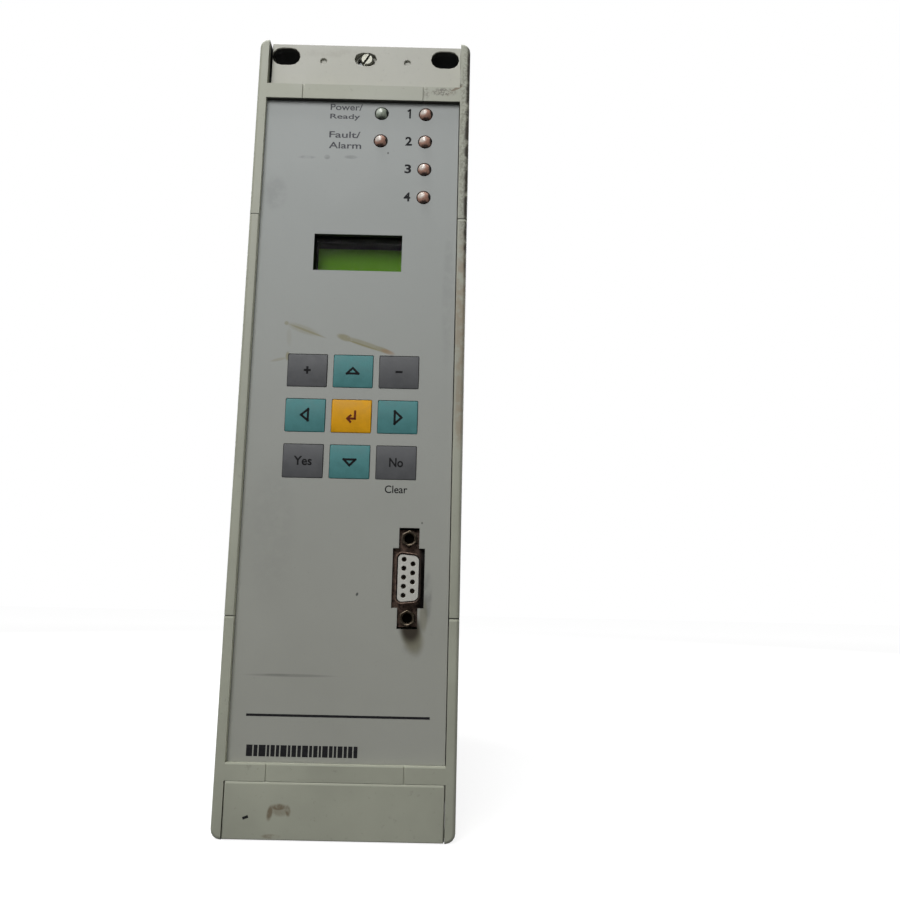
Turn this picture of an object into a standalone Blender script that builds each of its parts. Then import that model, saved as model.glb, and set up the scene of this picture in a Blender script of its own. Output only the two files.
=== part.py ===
"""Protection relay for flush mounting, one sixth of a 19 inch rack wide.

A moulded frame in four lengths goes round a front panel with keys, lamps, a display and a nine-pole port.
Behind it a folded sheet steel case holds the boards, and the wiring goes to terminal blocks at the rear.

Sizes are in millimetres. Every piece is drawn from the centre of the relay's face: x to the right,
y backwards into the relay, z up. One empty carries them all and sets the relay's own origin, the middle
of its base.
"""

import math

import bmesh
import bpy
from mathutils import Matrix, Vector

MM = 0.001
SEAT_GAP = 0.3          # between pieces that touch

# Frame, in front of the switchboard panel; its height follows from what the front panel carries
FRAME_WIDTH = 74.0
FRAME_DEPTH = 29.5
RAIL_WIDTH = 3.3        # lip of the rail, seen from the front
RAIL_WALL = 1.7         # behind the lip, beside the case
RAIL_LIP_DEPTH = 6.0
RAIL_EDGE_RADIUS = 1.2
END_CORNER_RADIUS = 3.0
END_ZONE = 17.1         # from the frame's end to its crossbar
CROSSBAR_HEIGHT = 5.3
CROSSBAR_SLIT_SPACING = 42.0
CROSSBAR_SLIT_WIDTH = 0.5
CROSSBAR_SLIT_DEPTH = 1.4
SIDE_STRIP_LENGTH = 134.2
RAIL_JOINT_GAP = 0.6

# Case, behind the switchboard panel; its rails and brackets leave it its width and height
CASE_DEPTH = 172.0
CASE_SHEET = 1.2
CASE_BEND_RADIUS = 0.4  # inside the bend
REAR_PLATE_SHEET = 1.5
CASE_TAB_WIDTH = 10.0
CASE_TAB_EDGE = 1.65    # beyond its screw's hole

# Mounting brackets and their screws
BRACKET_RECESS = 3.0    # behind the face of the frame
BRACKET_HEIGHT = 10.7   # of the box section between the case and the frame's end
BRACKET_FLANGE = 3.0
BRACKET_WALL = 2.4
BRACKET_ROOF = 1.1
BRACKET_RIB = 1.6
SLOT_FROM_SIDE = 8.85   # from the frame's side to the slot's middle
SLOT_LENGTH = 9.9
SLOT_EDGE = 0.3         # from the slot to the walls above and below it
PEG_HOLE_RADIUS = 1.15
PEG_HOLE_FROM_SLOT = 13.3
PEG_HOLE_FROM_END = 6.3
PEG_RADIUS = 0.85
PEG_LENGTH = 4.1
SCREW_FROM_END = 5.2
SCREW_X = 0.5           # to one side of its oblong well
SCREW_HEAD_RADIUS = 2.2
SCREW_HEAD_HEIGHT = 1.8
SCREW_HEAD_EDGE = 0.3
SCREW_RADIUS = 1.25
SCREW_LENGTH = 6.0
SCREW_SLOT_WIDTH = 0.8
SCREW_SLOT_DEPTH = 0.9
SCREW_SLOT_TURN = math.radians(58.0)
SCREW_WELL_LENGTH = 8.0
SCREW_WELL_HEIGHT = 5.0

# Cover cap
CAP_WALL = 1.8
CAP_RIM = 1.1
CAP_EDGE = 0.4

# Front panel
PANEL_RECESS = 1.8
PANEL_SHEET = 2.0
PANEL_SIDE_GAP = 0.4
PANEL_FLANGE_SHEET = 0.8
PANEL_FLANGE_DEPTH = 12.0
PILLAR_RADIUS = 2.0
PILLAR_FROM_SIDE = 2.0  # from the front board's side
PILLAR_FROM_BOTTOM = 6.0
PILLAR_ABOVE_DISPLAY = 14.0

# Keys, three by three
KEY_PITCH = 15.15
KEYPAD_X = 0.3
KEYS_BELOW_DISPLAY = 41.5   # from the display's middle to the upper row
KEY_GAP_X = 2.15
KEY_GAP_Z = 4.15
KEY_CORNER = 0.8
KEY_PROUD = 0.5
KEY_EDGE = 0.4
KEY_CROWN = 0.2
KEY_CROWN_INSET = 2.2
KEY_RIM = 0.6           # rim behind the panel, on every side
KEY_RIM_THICKNESS = 0.8
KEY_OPENING_GAP = 0.25
KEY_STEM_RADIUS = 2.0
KEY_SWITCH_GAP = 0.6    # between stem and plunger, more than the key's travel
PLUNGER_RADIUS = 1.6
PLUNGER_HEIGHT = 2.0
SWITCH_SIDE = 6.0
SWITCH_HEIGHT = 4.0

# Lamps
LAMP_RADIUS = 2.35
LAMP_RIM = 0.45         # rim behind the panel
LAMP_RIM_THICKNESS = 0.9
LAMP_TIP = 0.25         # behind the face of the frame
LAMP_LENGTH = 8.6
LAMP_LEAD = 0.5
LAMP_LEAD_SPACING = 2.54
LAMP_ROWS = 4
LAMP_PITCH = 10.3
LAMP_COLUMN_SPACING = 15.4
LAMPS_FROM_RAIL = 11.8
LAMPS_BELOW_CROSSBAR = 4.2

# Display
DISPLAY_X = 0.15
DISPLAY_BELOW_LAMPS = 20.5
DISPLAY_WIDTH = 29.8
DISPLAY_HEIGHT = 12.9
DISPLAY_PANE = 0.8
DISPLAY_PANE_LAP = 1.6
DISPLAY_BEZEL_WALL = 1.7
DISPLAY_GLASS_DEPTH = 10.0
DISPLAY_GLASS_LAP = 1.3
DISPLAY_GLASS_THICKNESS = 1.6
DISPLAY_BODY_LAP = 4.5
DISPLAY_BODY_THICKNESS = 2.1

# Serial port, nine poles, turned on end
PORT_FROM_RAIL = 13.25
PORT_BELOW_KEYS = 37.0  # from the lower row of keys to the port's middle
PORT_ABOVE_CROSSBAR = 56.8
PORT_CUTOUT_GAP = 0.95  # round the shell
PORT_TAB_GAP = 0.5      # beside the screw locks
PORT_TAB_END = 0.7      # beyond the screw locks
PORT_FLANGE_LAP = 1.15  # beside the cut-out
PORT_FLANGE_END = 0.2   # beyond the screw locks
PORT_FLANGE_SHEET = 0.8
PORT_FLANGE_CORNER = 1.5
PORT_SHELL_WIDTH = 8.3
PORT_SHELL_LENGTH = 16.9
PORT_SHELL_WALL = 0.5
PORT_SHELL_CORNER = 2.4
PORT_SHELL_FRONT = 0.2
PORT_TAPER = math.radians(10.0)
PORT_INSERT_FRONT = 0.8
PORT_BODY_WIDTH = 10.6
PORT_BODY_HEIGHT = 19.0
PORT_PIN_PITCH = 2.77
PORT_ROW_SPACING = 2.84
PORT_PIN_RADIUS = 0.62
PORT_PIN_DEPTH = 4.0
PORT_LOCK_FROM_SHELL = 4.045    # so that the two locks are 24.99 apart
PORT_LOCK_RADIUS = 2.7
PORT_LOCK_FRONT = 0.8
PORT_LOCK_HOLE_RADIUS = 1.35
PORT_LOCK_HOLE_DEPTH = 2.4
PORT_LOCK_SHANK_RADIUS = 1.4
PORT_LOCK_SHANK_LENGTH = 4.2

# Boards
BOARD_SHEET = 1.6
FRONT_BOARD_FROM_RAIL = 3.7
FRONT_BOARD_ABOVE_CROSSBAR = 6.2
MAIN_BOARD_FRONT = 24.0
MAIN_BOARD_BEFORE_NECK = 3.5    # from the board's end to the terminal blocks' necks
PROCESSOR_BOARD_FROM_CASE = 7.8
INPUT_BOARD_FROM_CASE = 5.8
GUIDE_WIDTH = 6.0
GUIDE_HEIGHT = 6.0
GUIDE_GROOVE = 3.0
GUIDE_FRONT_INSET = 10.0
GUIDE_REAR_INSET = 12.0
HEADER_SIZE = 5.6
HEADER_HEIGHT = 25.0
RIBBON_FROM_BOARD = 12.0
RIBBON_Z = -10.0
RIBBON_THICKNESS = 1.0
RIBBON_BEND = 5.0
RIBBON_FROM_FRONT = 19.0    # from the processor board's front edge to its header

# Chips, as (from the board's front edge, height of the middle, length, height)
CHIP_THICKNESS = 3.0
PROCESSOR_CHIPS = ((46.0, -10.0, 28.0, 28.0), (46.0, -50.0, 34.0, 14.0),
                   (84.0, -20.0, 14.0, 36.0), (84.0, -66.0, 14.0, 36.0))
INPUT_CHIPS = ((36.0, 80.0, 20.0, 20.0), (36.0, 40.0, 14.0, 30.0), (76.0, -40.0, 14.0, 50.0))

# Parts that the boards carry
TRANSFORMERS = 4
TRANSFORMERS_FROM_END = 20.0    # from the board's rear end
TRANSFORMERS_FROM_BOTTOM = 47.0
TRANSFORMER_PITCH = 30.0
CORE_LENGTH = 24.0
CORE_HEIGHT = 16.0
COIL_LENGTH = 16.0
COIL_HEIGHT = 26.0
CORE_REACH = 20.0
CORE_CORNER = 0.8
COIL_INSET = 2.0
COIL_CORNER = 2.0
POWER_SIDE = 34.0
POWER_COIL_SIDE = 24.0
POWER_REACH = 26.0
POWER_FROM_END = 70.0
POWER_FROM_TOP = 42.0
RELAYS = 4
RELAY_LENGTH = 29.0
RELAY_HEIGHT = 12.5
RELAY_REACH = 15.0
RELAY_CORNER = 0.8
RELAYS_FROM_END = 36.0
RELAYS_FROM_TOP = 22.0
RELAY_PITCH = 16.0
CAPACITORS = 2
CAPACITOR_RADIUS = 9.0
CAPACITOR_LENGTH = 25.0
CAPACITOR_EDGE = 1.2
CAPACITOR_FOOT = 2.7    # from its base to the rolled groove
CAPACITOR_GROOVE = 0.8
CAPACITORS_FROM_FRONT = 46.0
CAPACITORS_FROM_TOP = 30.0
CAPACITOR_PITCH = 24.0

# Rear terminal blocks, three of them one above another
TERMINAL_REACH = 34.0
BLOCK_WIDTH = 44.0
BLOCK_GAP = 3.0
BLOCKS_FROM_END = 12.5
BLOCK_SLOPE = 6.0       # how much narrower its ridge is, on each side
BLOCK_SHOULDER = 10.0
BLOCK_CORNER = 1.0
NECK_INSET_X = 2.3      # inside the ridge
NECK_INSET_Z = 4.3      # inside the block's ends
BLOCK_NECK_LENGTH = 12.0
SCREW_FROM_RIDGE = 7.0
ENTRY_FROM_SIDE = 3.0
ENTRY_DEPTH = 14.0
ENTRY_SIDE = 3.6
WELL_DEPTH = 3.0
BLOCK_END_WALL = 0.8    # beyond the last row of terminals
CURRENT_ROW_PITCH = 16.5
CURRENT_WELL_RADIUS = 3.8
VOLTAGE_ROW_PITCH = 7.6
VOLTAGE_WELL_RADIUS = 2.6
TERMINAL_SLOT_WIDTH = 0.9
TERMINAL_SLOT_DEPTH = 0.8
TERMINAL_SLOT_INSET = 0.6   # from the well's edge to the end of the screw's slot
EARTH_FROM_SIDE = 7.0
EARTH_FROM_END = 7.9
EARTH_RADIUS = 2.0
EARTH_HEAD_RADIUS = 4.0
EARTH_HEAD_HEIGHT = 2.8
EARTH_WASHER_RADIUS = 4.6
EARTH_WASHER_HEIGHT = 1.0
EARTH_LENGTH = 7.0

SEAL_LAP = 1.0          # how far a cutter runs past a face

# Height: the front panel's lamps, display, keys and port one below another
LAMP_SPAN = (LAMP_ROWS - 1) * LAMP_PITCH
PANEL_SPACE = (LAMPS_BELOW_CROSSBAR + LAMP_SPAN + DISPLAY_BELOW_LAMPS + KEYS_BELOW_DISPLAY
               + 2 * KEY_PITCH + PORT_BELOW_KEYS + PORT_ABOVE_CROSSBAR)
CROSSBAR_BOTTOM = PANEL_SPACE / 2
CROSSBAR_TOP = CROSSBAR_BOTTOM + CROSSBAR_HEIGHT
HALF_HEIGHT = CROSSBAR_TOP + END_ZONE
JOINT_Z = SIDE_STRIP_LENGTH / 2
LAMP_TOP_Z = CROSSBAR_BOTTOM - LAMPS_BELOW_CROSSBAR
DISPLAY_Z = LAMP_TOP_Z - LAMP_SPAN - DISPLAY_BELOW_LAMPS
KEYPAD_Z = DISPLAY_Z - KEYS_BELOW_DISPLAY - KEY_PITCH
PORT_Z = PORT_ABOVE_CROSSBAR - CROSSBAR_BOTTOM
SHELF_Z = HALF_HEIGHT - BRACKET_HEIGHT
HALF_CASE_HEIGHT = SHELF_Z - SEAT_GAP
SLOT_HEIGHT = BRACKET_HEIGHT - BRACKET_WALL - BRACKET_ROOF - 2 * SLOT_EDGE
SLOT_Z = HALF_HEIGHT - BRACKET_ROOF - SLOT_EDGE - SLOT_HEIGHT / 2
SCREW_Z = HALF_HEIGHT - SCREW_FROM_END
PEG_Z = HALF_HEIGHT - PEG_HOLE_FROM_END
FRONT_BOARD_TOP = CROSSBAR_BOTTOM - PANEL_FLANGE_SHEET - 2 * SEAT_GAP
FRONT_BOARD_BOTTOM = FRONT_BOARD_ABOVE_CROSSBAR - CROSSBAR_BOTTOM
BLOCK_PITCH = 2 * (HALF_CASE_HEIGHT - BLOCKS_FROM_END) / 3
BLOCK_HEIGHT = BLOCK_PITCH - BLOCK_GAP
EARTH_Z = EARTH_FROM_END - HALF_CASE_HEIGHT

# Width
HALF_WIDTH = FRAME_WIDTH / 2
RAIL_INNER = HALF_WIDTH - RAIL_WIDTH
WALL_X = HALF_WIDTH - RAIL_WALL
HALF_CASE_WIDTH = WALL_X - SEAT_GAP
SLOT_X = HALF_WIDTH - SLOT_FROM_SIDE
PEG_X = SLOT_X - PEG_HOLE_FROM_SLOT
KEY_WIDTH = KEY_PITCH - KEY_GAP_X
KEY_HEIGHT = KEY_PITCH - KEY_GAP_Z
LAMP_X = RAIL_INNER - LAMPS_FROM_RAIL
HALF_FRONT_BOARD = RAIL_INNER - FRONT_BOARD_FROM_RAIL
PORT_X = RAIL_INNER - PORT_FROM_RAIL
PORT_SCREW_Z = PORT_SHELL_LENGTH / 2 + PORT_LOCK_FROM_SHELL
PROCESSOR_BOARD_X = HALF_CASE_WIDTH - CASE_SHEET - PROCESSOR_BOARD_FROM_CASE
INPUT_BOARD_X = INPUT_BOARD_FROM_CASE + CASE_SHEET - HALF_CASE_WIDTH
RIBBON_X = PROCESSOR_BOARD_X - RIBBON_FROM_BOARD
EARTH_X = HALF_CASE_WIDTH - EARTH_FROM_SIDE

# Depth
REAR = FRAME_DEPTH + CASE_DEPTH
TOTAL_DEPTH = REAR + TERMINAL_REACH
CASE_FRONT = RAIL_LIP_DEPTH + SEAT_GAP
WELL_FLOOR = BRACKET_RECESS + SCREW_HEAD_HEIGHT
PANEL_BACK = PANEL_RECESS + PANEL_SHEET
BEHIND_PANEL = PANEL_BACK + SEAT_GAP
DISPLAY_GLASS_BACK = DISPLAY_GLASS_DEPTH + DISPLAY_GLASS_THICKNESS
BOARD_SEAT = DISPLAY_GLASS_BACK + DISPLAY_BODY_THICKNESS
FRONT_BOARD_DEPTH = BOARD_SEAT + SEAT_GAP
MAIN_BOARD_END = REAR - BLOCK_NECK_LENGTH - MAIN_BOARD_BEFORE_NECK
RIBBON_REACH = MAIN_BOARD_FRONT + RIBBON_FROM_FRONT


# Materials

def linear(hex_colour):
    """Turn an sRGB hex colour into the linear values that Blender's shaders use."""
    channels = [int(hex_colour[i:i + 2], 16) / 255 for i in (1, 3, 5)]
    return [c / 12.92 if c <= 0.04045 else ((c + 0.055) / 1.055) ** 2.4 for c in channels]


def finish(name, hex_colour, roughness, metallic=0.0):
    """One Principled material."""
    made = bpy.data.materials.new(name)
    made.use_nodes = True
    shader = made.node_tree.nodes["Principled BSDF"]
    shader.inputs["Base Color"].default_value = (*linear(hex_colour), 1.0)
    shader.inputs["Roughness"].default_value = roughness
    shader.inputs["Metallic"].default_value = metallic
    return made


# Outlines, as lists of (a, b) points

def outline(corners, segments=3):
    """Follow corners (a, b) or (a, b, radius), with an arc where a corner has a radius."""
    points = []
    for i, corner in enumerate(corners):
        here = Vector(corner[:2])
        radius = corner[2] if len(corner) > 2 else 0.0
        if not radius:
            points.append(tuple(here))
            continue
        before = (Vector(corners[i - 1][:2]) - here).normalized()
        after = (Vector(corners[(i + 1) % len(corners)][:2]) - here).normalized()
        half = before.angle(after) / 2
        centre = here + (before + after).normalized() * radius / math.sin(half)
        start = here + before * radius / math.tan(half) - centre
        end = here + after * radius / math.tan(half) - centre
        sweep = start.angle(end)
        for step in range(segments + 1):
            part = sweep * step / segments
            points.append(tuple(centre + (start * math.sin(sweep - part) + end * math.sin(part))
                                / math.sin(sweep)))
    return points


def rectangle(width, height, x=0.0, z=0.0, corner=0.0, segments=3):
    """Outline of a rectangle about (x, z)."""
    right, top = width / 2, height / 2
    corners = [(x + right, z - top, corner), (x + right, z + top, corner),
               (x - right, z + top, corner), (x - right, z - top, corner)]
    return outline(corners, segments)


def oblong(length, height, x, z, segments=6):
    """Outline of a slot with round ends, lying along x."""
    radius = height / 2
    straight = length / 2 - radius
    points = []
    for side, start in ((1, -math.pi / 2), (-1, math.pi / 2)):
        for step in range(segments + 1):
            angle = start + math.pi * step / segments
            points.append((x + side * straight + radius * math.cos(angle), z + radius * math.sin(angle)))
    return points


def port_outline(grow):
    """D-shaped outline of the port, its long side to the left; grow moves it outwards."""
    half = PORT_SHELL_WIDTH / 2 + grow
    long_side = PORT_SHELL_LENGTH / 2 + grow
    short_side = long_side - 2 * half * math.tan(PORT_TAPER)
    corner = PORT_SHELL_CORNER + grow
    return outline([(half, -short_side, corner), (half, short_side, corner),
                    (-half, long_side, corner), (-half, -long_side, corner)])


# Shapes, drawn into a bmesh

def box(bm, x, y, z):
    """A box between three (low, high) pairs."""
    verts = bmesh.ops.create_cube(bm, size=1.0)["verts"]
    bmesh.ops.scale(bm, vec=(x[1] - x[0], y[1] - y[0], z[1] - z[0]), verts=verts)
    bmesh.ops.translate(bm, vec=((x[0] + x[1]) / 2, (y[0] + y[1]) / 2, (z[0] + z[1]) / 2), verts=verts)


def prism(bm, points, low, high, axis="Y"):
    """An outline extruded along an axis; on X it is (y, z), on Y (x, z), on Z (x, y)."""
    order = {"X": (2, 0, 1), "Y": (0, 2, 1), "Z": (0, 1, 2)}[axis]
    rows = [tuple((a, b, low)[i] for i in order) for a, b in points]
    face = bm.faces.new([bm.verts.new(row) for row in rows])
    grown = bmesh.ops.extrude_face_region(bm, geom=[face])["geom"]
    travel = Vector((0, 0, high - low))
    moved = [v for v in grown if isinstance(v, bmesh.types.BMVert)]
    bmesh.ops.translate(bm, vec=tuple(travel[i] for i in order), verts=moved)


def rod(bm, x, z, radius, y, sides=12, turn=0.0):
    """A cylinder along y."""
    place = Matrix.Translation((x, (y[0] + y[1]) / 2, z)) @ Matrix.Rotation(turn, 4, "Y")
    bmesh.ops.create_cone(bm, cap_ends=True, segments=sides, radius1=radius, radius2=radius,
                          depth=y[1] - y[0], matrix=place @ Matrix.Rotation(math.pi / 2, 4, "X"))


def loft(bm, rings):
    """A closed body through (outline, depth) rings with equal numbers of points."""
    loops = [[bm.verts.new((x, depth, z)) for x, z in points] for points, depth in rings]
    edges = [[bm.edges.new((loop[i - 1], loop[i])) for i in range(len(loop))] for loop in loops]
    for first, second in zip(edges, edges[1:]):
        bmesh.ops.bridge_loops(bm, edges=first + second)
    bm.faces.new(loops[0])
    bm.faces.new(loops[-1])


def turned(bm, profile, sides):
    """A profile of (radius, depth) points, from the axis back to the axis, spun about y."""
    verts = [bm.verts.new((radius, depth, 0)) for radius, depth in profile]
    edges = [bm.edges.new(pair) for pair in zip(verts, verts[1:])]
    bmesh.ops.spin(bm, geom=verts + edges, cent=(0, 0, 0), axis=(0, 1, 0), angle=2 * math.pi,
                   steps=sides, use_merge=True)
    bmesh.ops.remove_doubles(bm, verts=bm.verts, dist=0.001)


def soften(bm, test, offset, segments):
    """Bevel the edges whose two ends both pass a test."""
    edges = [e for e in bm.edges if all(test(v.co) for v in e.verts)]
    bmesh.ops.bevel(bm, geom=edges, offset=offset, segments=segments, profile=0.5, affect="EDGES")


# Objects

def new_object(name, draw, at, turn):
    """An object whose mesh is drawn in millimetres about its own origin."""
    bm = bmesh.new()
    draw(bm)
    bmesh.ops.recalc_face_normals(bm, faces=bm.faces)
    bm.transform(Matrix.Scale(MM, 4))
    mesh = bpy.data.meshes.new(name)
    bm.to_mesh(mesh)
    bm.free()
    mesh.shade_smooth()
    mesh.set_sharp_from_angle(angle=math.radians(35))
    made = bpy.data.objects.new(name, mesh)
    made.location = Vector(at) * MM
    made.rotation_euler = (0, turn, 0)
    made.parent = FACE
    bpy.context.collection.objects.link(made)
    return made


def solid(name, draw, material, at=(0, 0, 0), turn=0.0, joined=(), cut=()):
    """One node: draw makes its body, each joined shape is added, then each cut shape is taken away."""
    made = new_object(name, draw, at, turn)
    made.data.materials.append(material)
    steps = [("UNION", shape) for shape in joined] + [("DIFFERENCE", shape) for shape in cut]
    for number, (operation, shape) in enumerate(steps):
        tool = new_object(f"{name}_tool_{number}", shape, at, turn)
        tool.hide_render = True
        tool.display_type = "WIRE"
        step = made.modifiers.new(operation.lower(), "BOOLEAN")
        step.operation = operation
        step.solver = "EXACT"
        step.object = tool
    return made


# Frame

def rail_section():
    """Section of the right rail, as (x, y): a lip at the front and a wall back to the switchboard panel."""
    return outline([(HALF_WIDTH, 0, RAIL_EDGE_RADIUS), (HALF_WIDTH, FRAME_DEPTH), (WALL_X, FRAME_DEPTH),
                    (WALL_X, RAIL_LIP_DEPTH), (RAIL_INNER, RAIL_LIP_DEPTH), (RAIL_INNER, 0)])


def front_frame(name, material, turn):
    """One end of the frame: two rail ends joined by a crossbar."""
    low = JOINT_Z + RAIL_JOINT_GAP / 2
    right = [(RAIL_INNER, low), (HALF_WIDTH, low), (HALF_WIDTH, HALF_HEIGHT, END_CORNER_RADIUS),
             (RAIL_INNER, HALF_HEIGHT), (RAIL_INNER, CROSSBAR_TOP)]
    left = [(-corner[0], *corner[1:]) for corner in reversed(right)]
    contour = right + left + [(-RAIL_INNER, CROSSBAR_BOTTOM), (RAIL_INNER, CROSSBAR_BOTTOM)]

    def lip(bm):
        prism(bm, outline(contour, 4), 0, RAIL_LIP_DEPTH)
        soften(bm, on_outer_edge, RAIL_EDGE_RADIUS, 3)

    def on_outer_edge(point):
        outside = abs(point.x) > HALF_WIDTH - END_CORNER_RADIUS - SEAT_GAP
        at_end = point.z > HALF_HEIGHT - END_CORNER_RADIUS - SEAT_GAP
        return point.y < RAIL_LIP_DEPTH / 2 and outside and (at_end or abs(point.x) > RAIL_INNER + 1)

    def walls(bm):
        rounded_end = outline([(WALL_X, low), (HALF_WIDTH, low), (HALF_WIDTH, HALF_HEIGHT, END_CORNER_RADIUS),
                               (RAIL_INNER, HALF_HEIGHT)], 4)
        drop = [point for point in rounded_end if point[0] > WALL_X]
        rise = math.sqrt(END_CORNER_RADIUS ** 2 - (END_CORNER_RADIUS - RAIL_WALL) ** 2)
        side = [(WALL_X, low)] + drop + [(WALL_X, HALF_HEIGHT - END_CORNER_RADIUS + rise)]
        for sign in (1, -1):
            prism(bm, [(sign * x, z) for x, z in side], RAIL_LIP_DEPTH - SEAL_LAP, FRAME_DEPTH)

    def slits(bm):
        for sign in (1, -1):
            middle = sign * CROSSBAR_SLIT_SPACING / 2
            box(bm, (middle - CROSSBAR_SLIT_WIDTH / 2, middle + CROSSBAR_SLIT_WIDTH / 2),
                (-SEAL_LAP, CROSSBAR_SLIT_DEPTH), (CROSSBAR_BOTTOM - SEAL_LAP, CROSSBAR_TOP + SEAL_LAP))

    solid(name, lip, material, turn=turn, joined=[walls], cut=[slits])


def side_strip(name, material, turn):
    """The middle length of a rail."""
    half = JOINT_Z - RAIL_JOINT_GAP / 2
    solid(name, lambda bm: prism(bm, rail_section(), -half, half, "Z"), material, turn=turn)


# Mounting brackets, their screws and the cap that covers them

def bracket(name, material, turn):
    """A box section along x with a flange at its front, open at both ends."""
    width = RAIL_INNER - SEAT_GAP
    flange_back = BRACKET_RECESS + BRACKET_FLANGE
    foot = CROSSBAR_TOP + SEAT_GAP
    rib = SLOT_X - SLOT_LENGTH / 2 - SEAT_GAP - BRACKET_RIB
    inside_y = (flange_back, FRAME_DEPTH - BRACKET_WALL)
    inside_z = (SHELF_Z + BRACKET_WALL, HALF_HEIGHT - BRACKET_ROOF)
    section = [(BRACKET_RECESS, foot), (BRACKET_RECESS, HALF_HEIGHT), (FRAME_DEPTH, HALF_HEIGHT),
               (FRAME_DEPTH, SHELF_Z), (flange_back, SHELF_Z), (flange_back, foot)]

    def hollow(bm):
        box(bm, (-rib, rib), inside_y, inside_z)
        for sign in (1, -1):
            ends = sorted((sign * (rib + BRACKET_RIB), sign * (width + SEAL_LAP)))
            box(bm, ends, inside_y, inside_z)

    def slots(bm):
        for sign in (1, -1):
            hole = oblong(SLOT_LENGTH, SLOT_HEIGHT, sign * SLOT_X, SLOT_Z)
            prism(bm, hole, BRACKET_RECESS - SEAL_LAP, FRAME_DEPTH + SEAL_LAP)

    def small_holes(bm):
        for sign in (1, -1):
            rod(bm, sign * PEG_X, PEG_Z, PEG_HOLE_RADIUS,
                (BRACKET_RECESS - SEAL_LAP, flange_back + SEAL_LAP), 10)
        prism(bm, oblong(SCREW_WELL_LENGTH, SCREW_WELL_HEIGHT, 0, SCREW_Z, 4),
              BRACKET_RECESS - SEAL_LAP, WELL_FLOOR)

    def screw_hole(bm):
        clear = SCREW_RADIUS + SEAT_GAP
        length = SCREW_WELL_LENGTH - SCREW_WELL_HEIGHT + 2 * clear
        prism(bm, oblong(length, 2 * clear, 0, SCREW_Z, 4), BRACKET_RECESS, flange_back + SEAL_LAP)

    def tab_notch(bm):
        side = CASE_TAB_WIDTH / 2 + SEAT_GAP
        box(bm, (-side, side), (flange_back, CASE_FRONT + CASE_SHEET + SEAT_GAP),
            (SHELF_Z - SEAL_LAP, SHELF_Z + BRACKET_WALL + SEAL_LAP))

    solid(name, lambda bm: prism(bm, section, -width, width, "X"), material, turn=turn,
          cut=[hollow, slots, small_holes, screw_hole, tab_notch])


def bracket_screw(name, material, turn):
    """Slotted cheese-head screw, drawn about its own axis."""
    head_back = WELL_FLOOR - SEAT_GAP
    head_front = head_back - SCREW_HEAD_HEIGHT
    profile = [(0, head_front), (SCREW_HEAD_RADIUS - SCREW_HEAD_EDGE, head_front),
               (SCREW_HEAD_RADIUS, head_front + SCREW_HEAD_EDGE), (SCREW_HEAD_RADIUS, head_back),
               (SCREW_RADIUS, head_back), (SCREW_RADIUS, head_back + SCREW_LENGTH),
               (0, head_back + SCREW_LENGTH)]

    def slot(bm):
        reach, side = SCREW_HEAD_RADIUS + SEAL_LAP, SCREW_SLOT_WIDTH / 2
        box(bm, (-reach, reach), (head_front - SEAL_LAP, head_front + SCREW_SLOT_DEPTH), (-side, side))
        turn_slot = Matrix.Rotation(-SCREW_SLOT_TURN, 3, "Y")
        bmesh.ops.rotate(bm, cent=(0, 0, 0), matrix=turn_slot, verts=bm.verts)

    place = (SCREW_X, 0, SCREW_Z if turn == 0 else -SCREW_Z)
    solid(name, lambda bm: turned(bm, profile, 16), material, at=place, turn=turn, cut=[slot])


def cover_cap(material):
    """Lower cap: a plate with a rim behind it and two pegs that go into the bracket's holes."""
    middle = HALF_HEIGHT - END_ZONE / 2
    width = 2 * (RAIL_INNER - SEAT_GAP)
    height = END_ZONE - 2 * SEAT_GAP
    rim_back = BRACKET_RECESS - SEAT_GAP

    def plate(bm):
        prism(bm, rectangle(width, height), 0, rim_back)
        soften(bm, lambda point: point.y < CAP_WALL / 2, CAP_EDGE, 2)
        back = max(bm.faces, key=lambda face: face.calc_center_median().y)
        bmesh.ops.inset_region(bm, faces=[back], thickness=CAP_RIM, use_even_offset=True)
        bmesh.ops.translate(bm, vec=(0, CAP_WALL - rim_back, 0), verts=back.verts)

    def pegs(bm):
        for sign in (1, -1):
            rod(bm, sign * PEG_X, middle - PEG_Z, PEG_RADIUS,
                (CAP_WALL / 2, rim_back + PEG_LENGTH), 10)

    solid("cover_cap", plate, material, at=(0, 0, -middle), joined=[pegs])


# Case

def housing(material):
    """Folded sheet case, open at both ends, with a tab above and below for the bracket screws."""
    def walls(inset):
        return rectangle(2 * (HALF_CASE_WIDTH - inset), 2 * (HALF_CASE_HEIGHT - inset),
                         corner=CASE_SHEET + CASE_BEND_RADIUS - inset)

    def inside(bm):
        prism(bm, walls(CASE_SHEET), CASE_FRONT - SEAL_LAP, REAR + SEAL_LAP)

    def tabs(bm):
        root, tip = HALF_CASE_HEIGHT - CASE_SHEET / 2, SCREW_Z + SCREW_RADIUS + SEAT_GAP + CASE_TAB_EDGE
        for sign in (1, -1):
            box(bm, (-CASE_TAB_WIDTH / 2, CASE_TAB_WIDTH / 2), (CASE_FRONT, CASE_FRONT + CASE_SHEET),
                sorted((sign * root, sign * tip)))

    def tab_holes(bm):
        for sign in (1, -1):
            rod(bm, SCREW_X, sign * SCREW_Z, SCREW_RADIUS + SEAT_GAP,
                (CASE_FRONT - SEAL_LAP, CASE_FRONT + CASE_SHEET + SEAL_LAP), 10)

    solid("housing", lambda bm: prism(bm, walls(0), CASE_FRONT, REAR), material,
          joined=[tabs], cut=[inside, tab_holes])


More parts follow.
